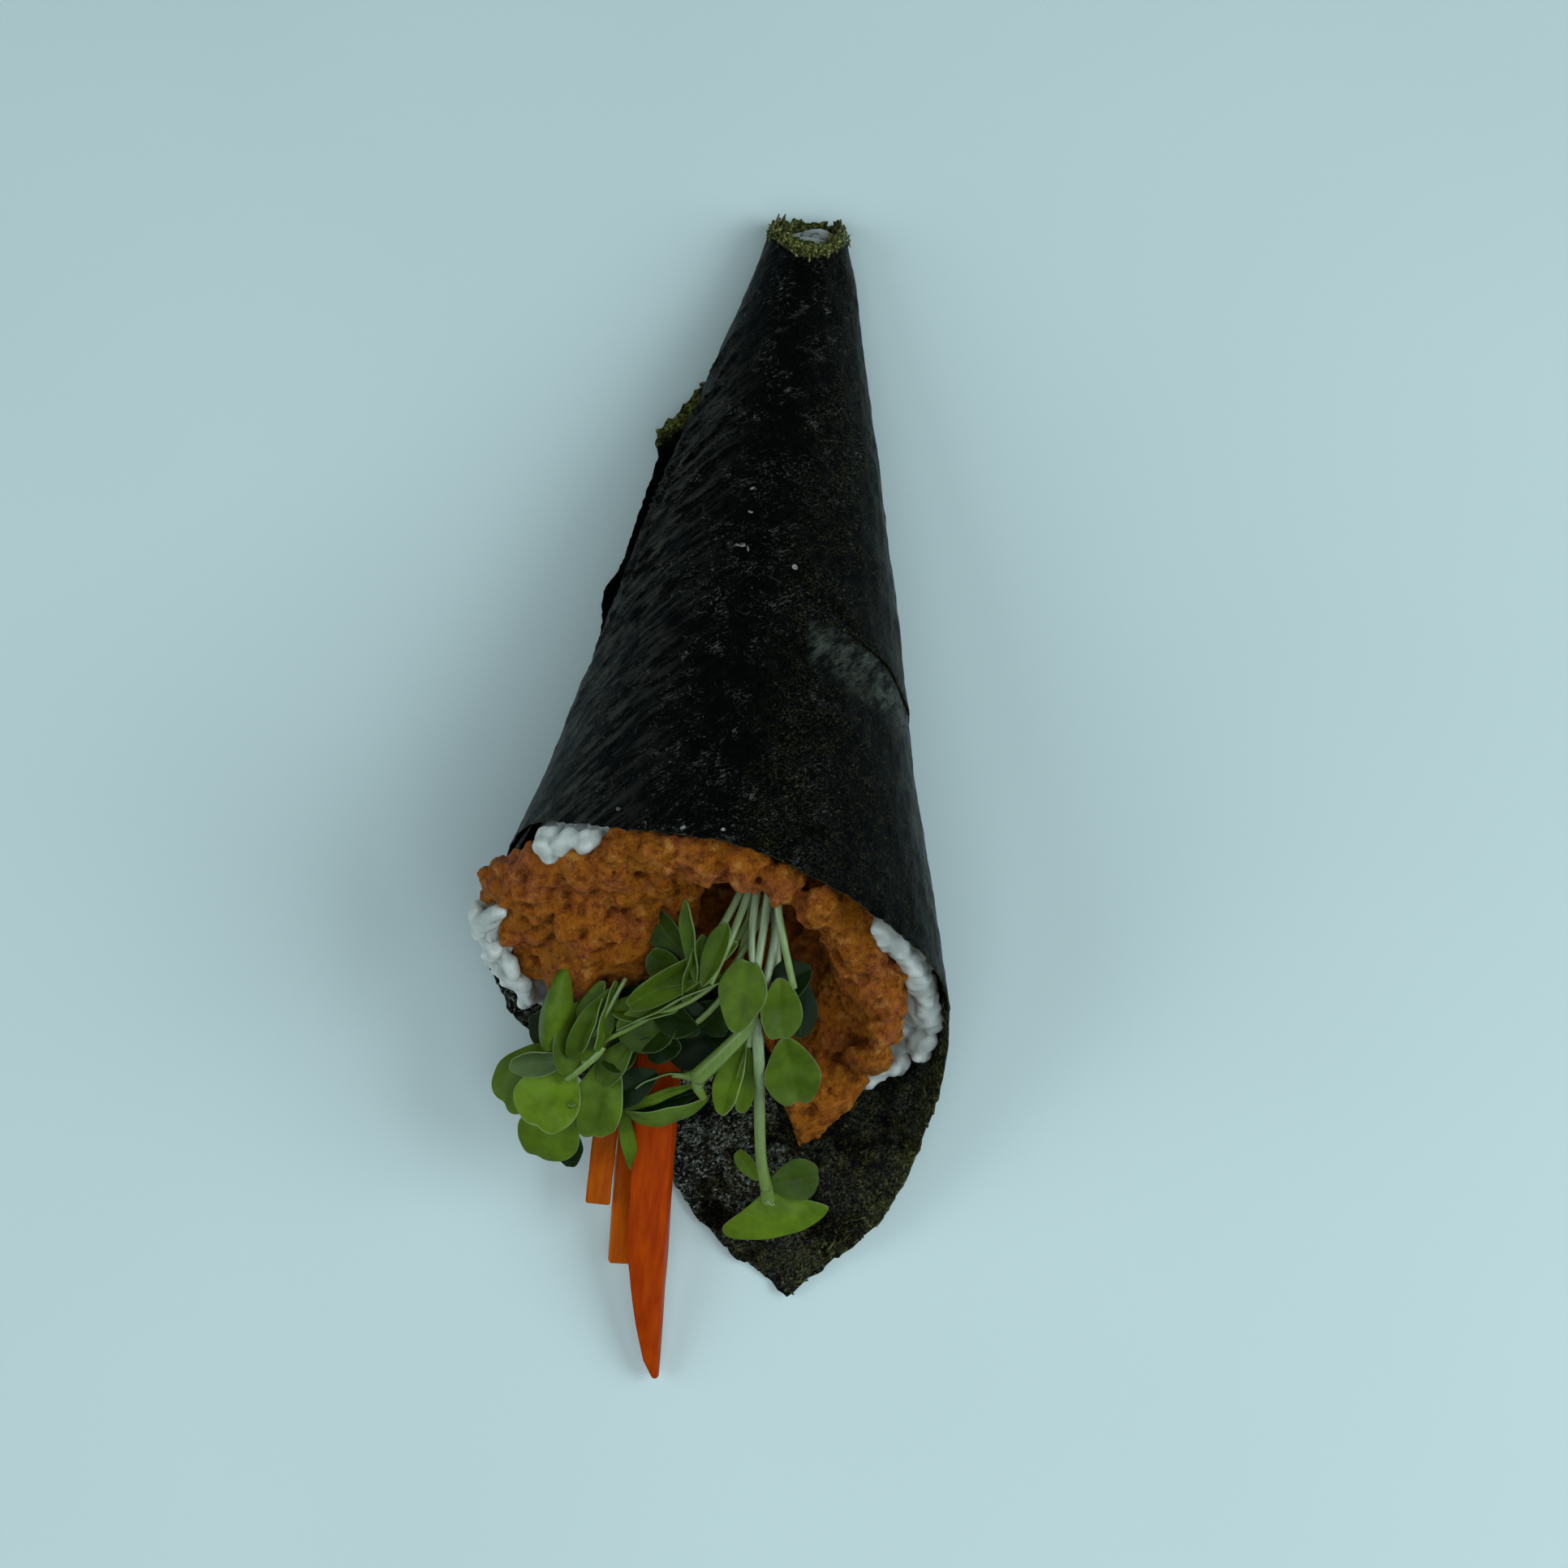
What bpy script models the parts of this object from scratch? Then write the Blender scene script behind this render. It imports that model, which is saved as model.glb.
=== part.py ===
"""A spicy tuna hand roll (temaki), lying on its side on a flat surface.

One half sheet of seaweed is rolled into a cone. It holds a lining of rice, a filling of minced
spicy tuna, three carrot sticks and a bunch of radish sprouts, one of which has dropped on the flap.

Metres, +Z up. The cone's tip points to +Y and its mouth to -Y. The origin is the centre of the
whole roll's footprint, on the surface it lies on.
"""

import math

import bmesh
import bpy
from mathutils import Matrix, Vector, noise

MM = 0.001

# ---- The cone: an oval section that grows evenly from an apex on the ground ----
APEX_X = -1.5 * MM
APEX_Y = 106.3 * MM
MOUTH_FLARE = 2.2 * MM  # how much wider the left side gets at the mouth
BEND = 0.148  # per metre: how much the cone's middle strays to the right on its way to the mouth
HALF_WIDTH = 0.240  # of the distance from the apex
HEIGHT = 0.385
WAIST = 0.181  # height of the widest level
SINK = 0.004  # how far the oval is pressed into the ground, which gives its flat foot
LOWER_ROUNDNESS = 0.8
SECTION_STEPS = 720

# ---- The sheet: a rectangle of seaweed, rolled about a point beside its lower long edge ----
SHEET_THICKNESS = 0.4 * MM
LAYER_PITCH = 0.8 * MM  # from one turn of the roll to the next
COLUMNS_PER_TURN = 24
FIRST_COLUMN = -11
LAST_COLUMN = 33
CORNER_COLUMN = 0
SHEET_ROWS = 14
CORNER_TURN = 0.065  # the flap's corner lies a little right of the bottom centre line
EDGE_FROM_APEX = 126.0 * MM  # from the apex square to each of the two edges that meet in the flap
EDGE_SQUARE = math.radians(45)
LOWER_EDGE_FROM_APEX = 21.0 * MM
END_FROM_APEX = 89.3 * MM  # the same for the outer layer's last edge
END_SQUARE = math.radians(117.3)
TIP_REACH = 23.5 * MM
TIP_SLANT = 1.6 * MM
RIGHT_BOW = 5.5 * MM  # how far the long edge bows back where it climbs the right side
RIGHT_BOW_TURN, RIGHT_BOW_WIDTH = 0.21, 0.11
FLAP_BOW = 2.8 * MM  # how far the flap's two edges bow out on each side of its corner
FLAP_BOW_TURN, FLAP_BOW_WIDTH = 0.055, 0.036

# ---- The pleat: a loose fold of the outer layer, low on the left side ----
PLEAT_COLUMN = 18
PLEAT_START, PLEAT_PEAK, PLEAT_SHOULDER, PLEAT_END = 46 * MM, 57 * MM, 83 * MM, 89 * MM
PLEAT_DEPTH = 6.0 * MM
PLEAT_SHOULDER_DEPTH = 4.6 * MM

# ---- The filling ----
LINING_INSET = 2.1 * MM  # from the roll's outer surface to the rice
CLEARANCE = 0.5 * MM
RICE_THICKNESS = 4.6 * MM
RICE_TIP = 25 * MM
TUNA_TIP = 58 * MM
CHANNEL_TIP = 90 * MM
FRONT_AT_TOP = 118 * MM  # distance of the filling's face from the apex, under the top edge
MOUTH_HEIGHT = 44 * MM
RICE_SLOPE = 0.62
TUNA_SLOPE = 0.74
RICE_LEFT_REACH = 4 * MM  # how much further out the rice comes at the left
RICE_SPREAD = 3.0 * MM  # and how far it swells over the sheet's edge there
LEFT_FACE_REACH = 4 * MM  # how much further out the tuna's face lies by the channel than by the rice
FILLING_SIDES = 40
WALL_STEPS = 8
WALL_CROWDING = 1.7  # above 1, the rings of a wall crowd towards its front
FACE_STEPS = 5

# ---- Carrot sticks: (inner end, outer end, width, height, roll in degrees, pointed), in millimetres ----
CARROTS = {
    "carrot_stick_long": ((-6.6, -21.0, 18.6), (-2.3, -84.2, 1.7), 5.6, 3.8, -8, True),
    "carrot_stick_middle": ((-9.8, -30.0, 9.3), (-7.3, -69.1, 2.0), 3.0, 2.5, -4, False),
    "carrot_stick_short": ((-12.0, -33.0, 12.8), (-11.2, -61.4, 7.0), 3.5, 3.2, 4, False),
}
STICK_RINGS = 12
POINT_FULLNESS = 1.26  # the pointed stick is this times the square root of the distance to its tip

# ---- The sprouts: stations along the bundle as (centre, half width, half height), in millimetres ----
BUNDLE = (
    ((2.6, -4.0, 24.4), 1.8, 1.2),
    ((3.8, -9.0, 25.6), 3.2, 2.2),
    ((5.6, -16.0, 27.8), 4.4, 3.0),
    ((7.6, -23.0, 30.4), 5.8, 4.0),
    ((7.4, -30.0, 30.6), 8.4, 5.2),
    ((4.0, -37.4, 28.8), 11.6, 5.8),
    ((-5.0, -43.8, 24.2), 11.8, 6.2),
    ((-13.2, -47.8, 19.4), 10.4, 6.2),
    ((-20.0, -49.8, 15.8), 8.6, 5.2),
    ((-24.6, -51.2, 13.4), 3.8, 2.6),
)
BUNDLE_SIDES = 20
BUNDLE_UNEVENNESS = 1.5 * MM

# ---- The sprout that has dropped on the flap, in millimetres ----
STEM_PATH = (
    (9.0, -43.4, 18.2),
    (9.6, -47.4, 15.2),
    (10.5, -52.4, 11.0),
    (11.7, -56.8, 7.6),
    (13.8, -60.0, 5.4),
)
STEM_RADIUS = 0.95
STEM_SIDES = 8
# Each leaf: (centre, half length, half width, heading in degrees, pitch, roll)
DROOPING_LEAVES = (
    ((14.4, -60.8, 4.9), 7.8, 3.3, 22.0, 0.0, 22.0),
    ((14.6, -54.2, 8.4), 4.8, 2.6, -8.0, 20.0, -14.0),
    ((8.6, -53.6, 10.0), 2.9, 1.7, 150.0, 0.0, -16.0),
)
LEAF_THICKNESS = 0.8

COLOURS = {
    "seaweed": ((0.012, 0.014, 0.010), 0.35),
    "rice": ((0.78, 0.78, 0.74), 0.4),
    "tuna": ((0.55, 0.20, 0.05), 0.3),
    "carrot": ((0.72, 0.16, 0.01), 0.35),
    "sprout": ((0.16, 0.32, 0.05), 0.4),
}


def clear_scene():
    for thing in list(bpy.data.objects):
        bpy.data.objects.remove(thing)


def material(name):
    """The named Principled material, made once."""
    found = bpy.data.materials.get(name)
    if found:
        return found
    colour, roughness = COLOURS[name]
    made = bpy.data.materials.new(name)
    made.use_nodes = True
    shader = made.node_tree.nodes["Principled BSDF"]
    shader.inputs["Base Color"].default_value = (*colour, 1)
    shader.inputs["Roughness"].default_value = roughness
    shader.inputs["Metallic"].default_value = 0.0
    return made


def object_from(bm, name, surface):
    """Closes a bmesh into a scene object with its material and smooth shading."""
    bmesh.ops.recalc_face_normals(bm, faces=bm.faces)
    mesh = bpy.data.meshes.new(name)
    bm.to_mesh(mesh)
    bm.free()
    mesh.shade_smooth()
    mesh.set_sharp_from_angle(angle=math.radians(40))
    mesh.materials.append(material(surface))
    made = bpy.data.objects.new(name, mesh)
    bpy.context.scene.collection.objects.link(made)
    return made


def smoothstep(value):
    value = min(1.0, max(0.0, value))
    return value * value * (3 - 2 * value)


def bell(value, centre, width):
    return math.exp(-(((value - centre) / width) ** 2))


# ---- The oval section ----


def oval(angle):
    """(x, z) of the section one unit from the apex. Angle 0 is the right side and 90 degrees the top."""
    c, s = math.cos(angle), math.sin(angle)
    if s >= 0:
        return HALF_WIDTH * c, WAIST + (HEIGHT - WAIST) * s
    x = math.copysign(abs(c) ** LOWER_ROUNDNESS, c) * HALF_WIDTH
    return x, max(0.0, WAIST - (WAIST + SINK) * abs(s) ** LOWER_ROUNDNESS)


def measure_oval():
    """The section's points from the bottom centre round to the right, with their distance round it."""
    points = [oval(math.tau * i / SECTION_STEPS - math.pi / 2) for i in range(SECTION_STEPS + 1)]
    along = [0.0]
    for (x0, z0), (x1, z1) in zip(points, points[1:]):
        along.append(along[-1] + math.hypot(x1 - x0, z1 - z0))
    return points, along


SECTION, SECTION_ALONG = measure_oval()
DIRECTIONS = [Vector((x, -1, z)).normalized() for x, z in SECTION]
TURN_ANGLE = sum(a.angle(b) for a, b in zip(DIRECTIONS, DIRECTIONS[1:]))


def section_at(turn):
    """(x, z) one unit from the apex, at a share of the way round from the bottom centre to the right."""
    goal = (turn % 1.0) * SECTION_ALONG[-1]
    low, high = 0, SECTION_STEPS
    while high - low > 1:
        middle = (low + high) // 2
        if SECTION_ALONG[middle] <= goal:
            low = middle
        else:
            high = middle
    share = (goal - SECTION_ALONG[low]) / (SECTION_ALONG[high] - SECTION_ALONG[low])
    (x0, z0), (x1, z1) = SECTION[low], SECTION[high]
    return x0 + (x1 - x0) * share, z0 + (z1 - z0) * share


def middle_at(distance):
    """The middle of the section this far from the apex, at the height of its widest level."""
    return Vector((APEX_X + BEND * distance * distance, APEX_Y - distance, WAIST * distance))


def cone_point(turn, distance, inset=0.0):
    """A point on the cone, this far from the apex along the cone's axis, moved inwards by inset."""
    x, z = section_at(turn)
    outward = Vector((x, 0, z - WAIST)).normalized()
    flare = MOUTH_FLARE * bell(turn % 1.0, 0.79, 0.12) * smoothstep((distance - 105 * MM) / (30 * MM))
    point = middle_at(distance) + Vector((x, 0, z - WAIST)) * distance - outward * inset
    point.x -= flare
    return point


def axis_distance(turn, reach):
    """Distance from the apex along the axis of a point that lies reach from it along the sheet."""
    x, z = section_at(turn)
    return reach / math.sqrt(1 + x * x + z * z)


# ---- The seaweed sheet ----


def sheet_angle(turn):
    """The angle on the flat sheet from the flap's corner, seen from the apex."""
    return (turn - CORNER_TURN) * TURN_ANGLE


def to_edge(angle, square, distance):
    """How far it is from the apex to a straight edge, looking at this angle."""
    across = math.cos(angle - square)
    return distance / across if across > 0.05 else math.inf


def outer_reach(turn):
    """How far from the apex the sheet goes: the flap's two edges, then the outer layer's end."""
    angle = sheet_angle(turn)
    left = to_edge(angle, -EDGE_SQUARE, EDGE_FROM_APEX)
    right = to_edge(angle, EDGE_SQUARE, EDGE_FROM_APEX)
    right -= RIGHT_BOW * bell(turn, RIGHT_BOW_TURN, RIGHT_BOW_WIDTH)
    bow = FLAP_BOW * bell(abs(turn - CORNER_TURN), FLAP_BOW_TURN, FLAP_BOW_WIDTH)
    return min(left + bow, right + bow, to_edge(angle, END_SQUARE, END_FROM_APEX))


def inner_reach(turn):
    """How near the apex the sheet starts: the slanting lip at the tip, or its straight lower edge."""
    lip = TIP_REACH - TIP_SLANT * math.sin(math.tau * turn)
    if turn > 0.5:
        return lip
    return max(lip, to_edge(sheet_angle(turn), EDGE_SQUARE, LOWER_EDGE_FROM_APEX))


def layer_inset(turn):
    """Each turn lies outside the one before. The step is made on the sides, so the foot stays flat."""
    whole = math.floor(turn)
    return LAYER_PITCH * (1 - whole - smoothstep((turn - whole - 0.1) / 0.8))


def pleat_depth(distance):
    """How far the loose fold stands out at this distance from the apex."""
    rise = smoothstep((distance - PLEAT_START) / (PLEAT_PEAK - PLEAT_START))
    fall = smoothstep((distance - PLEAT_PEAK) / (PLEAT_SHOULDER - PLEAT_PEAK))
    end = 1 - smoothstep((distance - PLEAT_SHOULDER) / (PLEAT_END - PLEAT_SHOULDER))
    return rise * end * (PLEAT_DEPTH + (PLEAT_SHOULDER_DEPTH - PLEAT_DEPTH) * fall)


def sheet_point(column, row, depth):
    """A point of the rolled sheet. Depth 0 is its outer face and 1 its inner face."""
    turn = CORNER_TURN + (column - CORNER_COLUMN) / COLUMNS_PER_TURN
    near, far = inner_reach(turn), outer_reach(turn)
    reach = near + (far - near) * row / SHEET_ROWS
    distance = axis_distance(turn, reach)
    point = cone_point(turn, distance, layer_inset(turn) + depth * SHEET_THICKNESS)
    if column == PLEAT_COLUMN:
        point.x -= pleat_depth(distance)
    return point


def nori_wrap():
    """The half sheet of seaweed, rolled nearly two turns, with its corner left as a flap."""
    bm = bmesh.new()
    columns = range(FIRST_COLUMN, LAST_COLUMN + 1)
    faces_of_sheet = [
        [[bm.verts.new(sheet_point(c, r, depth)) for r in range(SHEET_ROWS + 1)] for c in columns]
        for depth in (0, 1)
    ]
    outer, inner = faces_of_sheet
    last = len(outer) - 1
    for grid in faces_of_sheet:
        for a, b in zip(grid, grid[1:]):
            for r in range(SHEET_ROWS):
                bm.faces.new((a[r], b[r], b[r + 1], a[r + 1]))
    for c in range(last):
        for r in (0, SHEET_ROWS):
            bm.faces.new((outer[c][r], outer[c + 1][r], inner[c + 1][r], inner[c][r]))
    for c in (0, last):
        for r in range(SHEET_ROWS):
            bm.faces.new((outer[c][r], outer[c][r + 1], inner[c][r + 1], inner[c][r]))
    return object_from(bm, "nori_wrap", "seaweed")


# ---- Rice and tuna: one cup inside the other ----


def around(turn):
    """Turn as a value from -0.5 to 0.5, with 0 at the bottom centre and positive to the right."""
    return (turn + 0.5) % 1.0 - 0.5


def below_top(turn):
    """How much lower than the mouth's top edge this side of the section lies."""
    _, z = section_at(turn)
    return MOUTH_HEIGHT - z * FRONT_AT_TOP


def rice_front(turn, share):
    """Where the rice ends: lower is further out, with a hollow at the bottom under the sprouts."""
    out = FRONT_AT_TOP + RICE_SLOPE * below_top(turn) + RICE_LEFT_REACH * bell(turn, 0.75, 0.08)
    return out - 12 * MM * bell(around(turn), -0.04, 0.09)


def tuna_front(turn, share):
    """Where the tuna ends: past the rice, with a tongue low on the right that hangs on the sheet.

    At the left it slopes out towards the channel.
    """
    out = FRONT_AT_TOP + 2 * MM + TUNA_SLOPE * below_top(turn)
    out += 3 * MM * bell(around(turn), 0.095, 0.03)
    out -= 8 * MM * bell(around(turn), 0.19, 0.045)
    out -= 24 * MM * bell(around(turn), -0.08, 0.10)
    return out + LEFT_FACE_REACH * (1 - share) * bell(turn, 0.62, 0.16)


def toward_core(turn, distance, share):
    """A point inside the cone: share 1 lies against the sheet, and 0 is the middle of the section."""
    return middle_at(distance).lerp(cone_point(turn, distance, LINING_INSET), share)


def wall_share(distance, thickness):
    """The share of the section that is left inside a wall of this thickness."""
    return max(0.12, 1 - thickness / (HALF_WIDTH * distance))


def rice_outside(turn, distance):
    """Against the sheet, but swollen outwards once it is past the sheet's left edge."""
    past_edge = distance - axis_distance(turn, outer_reach(turn - 1))
    spread = RICE_SPREAD * bell(turn, 0.74, 0.08) * smoothstep((past_edge - 2.8 * MM) / (3 * MM))
    return 1 + spread / (HALF_WIDTH * distance)


def rice_inside(turn, distance):
    return wall_share(distance, RICE_THICKNESS)


def tuna_outside(turn, distance):
    return wall_share(distance, RICE_THICKNESS + CLEARANCE)


def tuna_inside(turn, distance):
    """The hollow that holds the stems and the carrots: it opens at the lower right of the middle."""
    width = 0.24 + 0.30 * smoothstep((distance - CHANNEL_TIP) / (30 * MM))
    return width - 0.52 * width * bell(turn, 0.68, 0.15)


def lumpy(point, size, scale):
    """Noise from about -size to size that stays the same at the same place."""
    return size * noise.noise(point / scale)


def cup(name, surface, start, floor, front, outside, inside, bulge):
    """A solid between two nested walls, closed at the tip, with an uneven face at its front."""
    bm = bmesh.new()
    rings = []
    for side in range(FILLING_SIDES):
        turn = side / FILLING_SIDES
        strip = []
        edge = front(turn, 1.0)
        for i in range(WALL_STEPS + 1):
            distance = edge - (edge - start) * (1 - i / WALL_STEPS) ** WALL_CROWDING
            strip.append(toward_core(turn, distance, outside(turn, distance)))
        for i in range(1, FACE_STEPS):
            across = i / FACE_STEPS
            end = front(turn, 1 - across) + bulge * math.sin(math.pi * across)
            share = outside(turn, edge) + (inside(turn, end) - outside(turn, edge)) * across
            point = toward_core(turn, end, share)
            point.y -= lumpy(point, bulge, 5 * MM)
            strip.append(point)
        edge = front(turn, 0.0)
        for i in range(WALL_STEPS, -1, -1):
            distance = edge - (edge - floor) * (1 - i / WALL_STEPS) ** WALL_CROWDING
            strip.append(toward_core(turn, distance, inside(turn, distance)))
        rings.append([bm.verts.new(point) for point in strip])
    for a, b in zip(rings, rings[1:] + rings[:1]):
        for i in range(len(a) - 1):
            bm.faces.new((a[i], b[i], b[i + 1], a[i + 1]))
    for end_of_strip, distance in ((0, start), (-1, floor)):
        pole = bm.verts.new(middle_at(distance))
        for a, b in zip(rings, rings[1:] + rings[:1]):
            bm.faces.new((a[end_of_strip], b[end_of_strip], pole))
    return object_from(bm, name, surface)


# ---- Carrot sticks and sprouts: lofts from ring to ring ----


def loft(bm, rings):
    """Skins closed rings of points one after another and caps both ends."""
    rings = [[bm.verts.new(point) for point in ring] for ring in rings]
    for a, b in zip(rings, rings[1:]):
        for i in range(len(a)):
            j = (i + 1) % len(a)
            bm.faces.new((a[i], a[j], b[j], b[i]))
    bm.faces.new(rings[0])
    bm.faces.new(rings[-1])


def frame_along(direction, roll=0.0):
    """Two unit vectors square to a direction: sideways, and as near to up as it allows."""
    side = direction.cross(Vector((0, 0, 1))).normalized()
    up = side.cross(direction).normalized()
    return side * math.cos(roll) + up * math.sin(roll), up * math.cos(roll) - side * math.sin(roll)


def carrot_stick(name, inner, outer, width, height, roll, pointed):
    """A hand-cut stick with a square section. The pointed one is pared to a tip from its left side."""
    inner, outer = Vector(inner), Vector(outer)
    length = (outer - inner).length
    side, up = frame_along((outer - inner).normalized(), math.radians(roll))
    rings = []
    for step in range(STICK_RINGS + 1):
        share = step / STICK_RINGS
        to_tip = length * (1 - share) + 0.4
        wide, high, shift = width, height, 0.0
        if pointed:
            wide = min(width, POINT_FULLNESS * math.sqrt(to_tip))
            high = height * (0.35 + 0.65 * wide / width)
            shift = 0.5 * (width - wide)
        centre = inner.lerp(outer, share) - side * shift
        ring = []
        for x, y in ((-1, -1), (1, -1), (1, 1), (-1, 1)):
            ring.append((centre + side * (0.5 * x * wide) + up * (0.5 * y * high)) * MM)
        rings.append(ring)
    bm = bmesh.new()
    loft(bm, rings)
    return object_from(bm, name, "carrot")


def sprout_bundle():
    """The bunch of sprouts as one uneven heap: a neck of stems that widens into the leaves."""
    centres = [Vector(station[0]) * MM for station in BUNDLE]
    rings = []
    for i, (_, half_width, half_height) in enumerate(BUNDLE):
        ahead, behind = centres[min(i + 1, len(centres) - 1)], centres[max(i - 1, 0)]
        side, up = frame_along((ahead - behind).normalized())
        ring = []
        for k in range(BUNDLE_SIDES):
            angle = math.tau * k / BUNDLE_SIDES
            out = side * math.cos(angle) * half_width + up * math.sin(angle) * half_height
            point = centres[i] + out * MM
            size = BUNDLE_UNEVENNESS * min(1.0, half_height / 6)
            ring.append(point + out.normalized() * lumpy(point, size, 4 * MM))
        rings.append(ring)
    bm = bmesh.new()
    loft(bm, rings)
    return object_from(bm, "sprout_bundle", "sprout")


def leaf_body(name, centre, half_length, half_width, heading, pitch, roll):
    """A thick rounded leaf: a flattened sphere, turned and set in place."""
    bm = bmesh.new()
    bmesh.ops.create_uvsphere(bm, u_segments=20, v_segments=8, radius=1.0)
    stretch = Matrix.Diagonal((half_length, half_width, LEAF_THICKNESS, 1))
    turn = Matrix.Rotation(math.radians(heading), 4, "Z") @ Matrix.Rotation(math.radians(pitch), 4, "Y")
    turn = turn @ Matrix.Rotation(math.radians(roll), 4, "X")
    place = Matrix.Translation(Vector(centre) * MM)
    bmesh.ops.transform(bm, matrix=place @ turn @ Matrix.Scale(MM, 4) @ stretch, verts=bm.verts)
    return object_from(bm, name, "sprout")


def drooping_sprout():
    """One sprout that hangs down on the flap: a stem that bends over, and three leaves grown to it."""
    path = [Vector(point) * MM for point in STEM_PATH]
    rings = []
    for i, centre in enumerate(path):
        ahead, behind = path[min(i + 1, len(path) - 1)], path[max(i - 1, 0)]
        side, up = frame_along((ahead - behind).normalized())
        ring = []
        for k in range(STEM_SIDES):
            angle = math.tau * k / STEM_SIDES
            ring.append(centre + (side * math.cos(angle) + up * math.sin(angle)) * STEM_RADIUS * MM)
        rings.append(ring)
    bm = bmesh.new()
    loft(bm, rings)
    stem = object_from(bm, "drooping_sprout", "sprout")
    for i, leaf in enumerate(DROOPING_LEAVES):
        body = leaf_body(f"leaf_{i}", *leaf)
        body.hide_render = True
        body.display_type = "WIRE"
        join = stem.modifiers.new(f"join_{i}", "BOOLEAN")
        join.operation = "UNION"
        join.solver = "EXACT"
        join.object = body
    return stem


def main():
    clear_scene()
    nori_wrap()
    cup(
        "rice_lining", "rice", RICE_TIP, TUNA_TIP, rice_front, rice_outside, rice_inside, 2.0 * MM
    )
    tuna_start = TUNA_TIP + CLEARANCE
    cup(
        "tuna_filling", "tuna", tuna_start, CHANNEL_TIP, tuna_front, tuna_outside, tuna_inside, 3.2 * MM
    )
    for name, measures in CARROTS.items():
        carrot_stick(name, *measures)
    sprout_bundle()
    drooping_sprout()


main()
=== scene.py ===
# %% [markdown]
# # A spicy tuna hand roll
# A hand roll, or temaki, is a half sheet of toasted seaweed rolled into a cone round rice and
# minced tuna, with sprouts and carrot sticks put in last. This lesson dresses a plain solid model
# of one: the solids say where everything is, and each step here replaces one of them with
# something that looks like food. The solid model is loaded first and is never changed.

import bisect
import math
import random

import bmesh
import bpy
from mathutils import Matrix, Vector, noise
from mathutils.bvhtree import BVHTree


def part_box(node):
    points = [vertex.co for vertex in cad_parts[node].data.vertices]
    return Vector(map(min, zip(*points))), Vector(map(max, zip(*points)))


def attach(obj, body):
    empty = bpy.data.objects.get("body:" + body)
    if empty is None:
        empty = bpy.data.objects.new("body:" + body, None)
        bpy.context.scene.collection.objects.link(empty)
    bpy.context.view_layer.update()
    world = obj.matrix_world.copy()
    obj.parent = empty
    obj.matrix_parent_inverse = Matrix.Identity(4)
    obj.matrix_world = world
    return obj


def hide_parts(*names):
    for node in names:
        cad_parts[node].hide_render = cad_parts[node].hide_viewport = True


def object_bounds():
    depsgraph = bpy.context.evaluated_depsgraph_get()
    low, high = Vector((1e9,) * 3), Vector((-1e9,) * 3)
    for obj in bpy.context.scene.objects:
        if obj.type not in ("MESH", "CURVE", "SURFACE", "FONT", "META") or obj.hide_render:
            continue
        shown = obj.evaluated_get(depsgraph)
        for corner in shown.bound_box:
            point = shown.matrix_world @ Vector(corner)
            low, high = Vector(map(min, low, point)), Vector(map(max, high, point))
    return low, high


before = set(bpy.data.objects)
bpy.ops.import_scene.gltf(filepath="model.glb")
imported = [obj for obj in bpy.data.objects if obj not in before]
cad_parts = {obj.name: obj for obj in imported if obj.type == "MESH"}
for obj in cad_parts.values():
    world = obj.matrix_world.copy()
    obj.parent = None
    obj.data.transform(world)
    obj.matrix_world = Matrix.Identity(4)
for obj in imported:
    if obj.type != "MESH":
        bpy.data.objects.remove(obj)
cad_box = [list(corner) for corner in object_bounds()]
MM = 0.001
print("solids:", sorted(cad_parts))
print("size in mm:", [round((high - low) / MM, 1) for low, high in zip(*cad_box)])

# %% [markdown]
# ## Small helpers
# Organic shapes are mostly smooth steps, soft bumps and noise. All three could be done by hand in
# sculpt mode, but as functions they can be repeated and tuned.

# %% Steps, bumps and noise


def mm(x, y, z):
    return Vector((x, y, z)) * MM


def smoothstep(value):
    """0 below 0, 1 above 1, and a smooth rise between them."""
    value = min(1.0, max(0.0, value))
    return value * value * (3 - 2 * value)


def bell(value, centre, width):
    """A soft bump that is 1 at its centre."""
    return math.exp(-(((value - centre) / width) ** 2))


def wobble(point, size, scale):
    """Smooth noise between about -size and size, with features about as large as scale."""
    return size * noise.noise(point / scale)


print("a bell one width from its centre:", round(bell(1.0, 0.0, 1.0), 2))

# %% [markdown]
# ## From a bmesh to a piece
# Every piece is built as a bmesh, Blender's mesh for editing. This helper turns a finished bmesh into an
# object, gives it its finishes and says that it moves with the food.
# Each point is kept inside the solid model's box, so that the food never grows past its size.

# %% Turn a bmesh into a piece
EDGE_OF_BOX = 0.03 * MM


def keep_in_box(points):
    """Moves stray points back into the solid model's box, and says how many coordinates moved."""
    low, high = cad_box
    strays = 0
    for point in points:
        for axis in range(3):
            kept = min(high[axis] - EDGE_OF_BOX, max(low[axis] + EDGE_OF_BOX, point.co[axis]))
            strays += kept != point.co[axis]
            point.co[axis] = kept
    return strays


def add_piece(name, bm, finishes, slot, *stands_for):
    strays = keep_in_box(bm.verts)
    mesh = bpy.data.meshes.new(name)
    bm.to_mesh(mesh)
    bm.free()
    mesh.shade_smooth()
    for finish in finishes:
        mesh.materials.append(finish)
    piece = bpy.data.objects.new(name, mesh)
    bpy.context.scene.collection.objects.link(piece)
    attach(piece, "root")
    if stands_for:
        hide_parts(*stands_for)
    print(f"{name}: {len(mesh.polygons)} faces, {strays} stray coordinates")
    return piece


# %% [markdown]
# ## Finishes
# A finish is a Principled shader with a pattern made by nodes. What is the same all over, such as
# how see-through rice is, is set on the shader's own sockets. Nodes could be joined up by hand in
# the shader editor, but most finishes here need the same few, so each gets a short function.

# %% A new finish and its nodes


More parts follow.
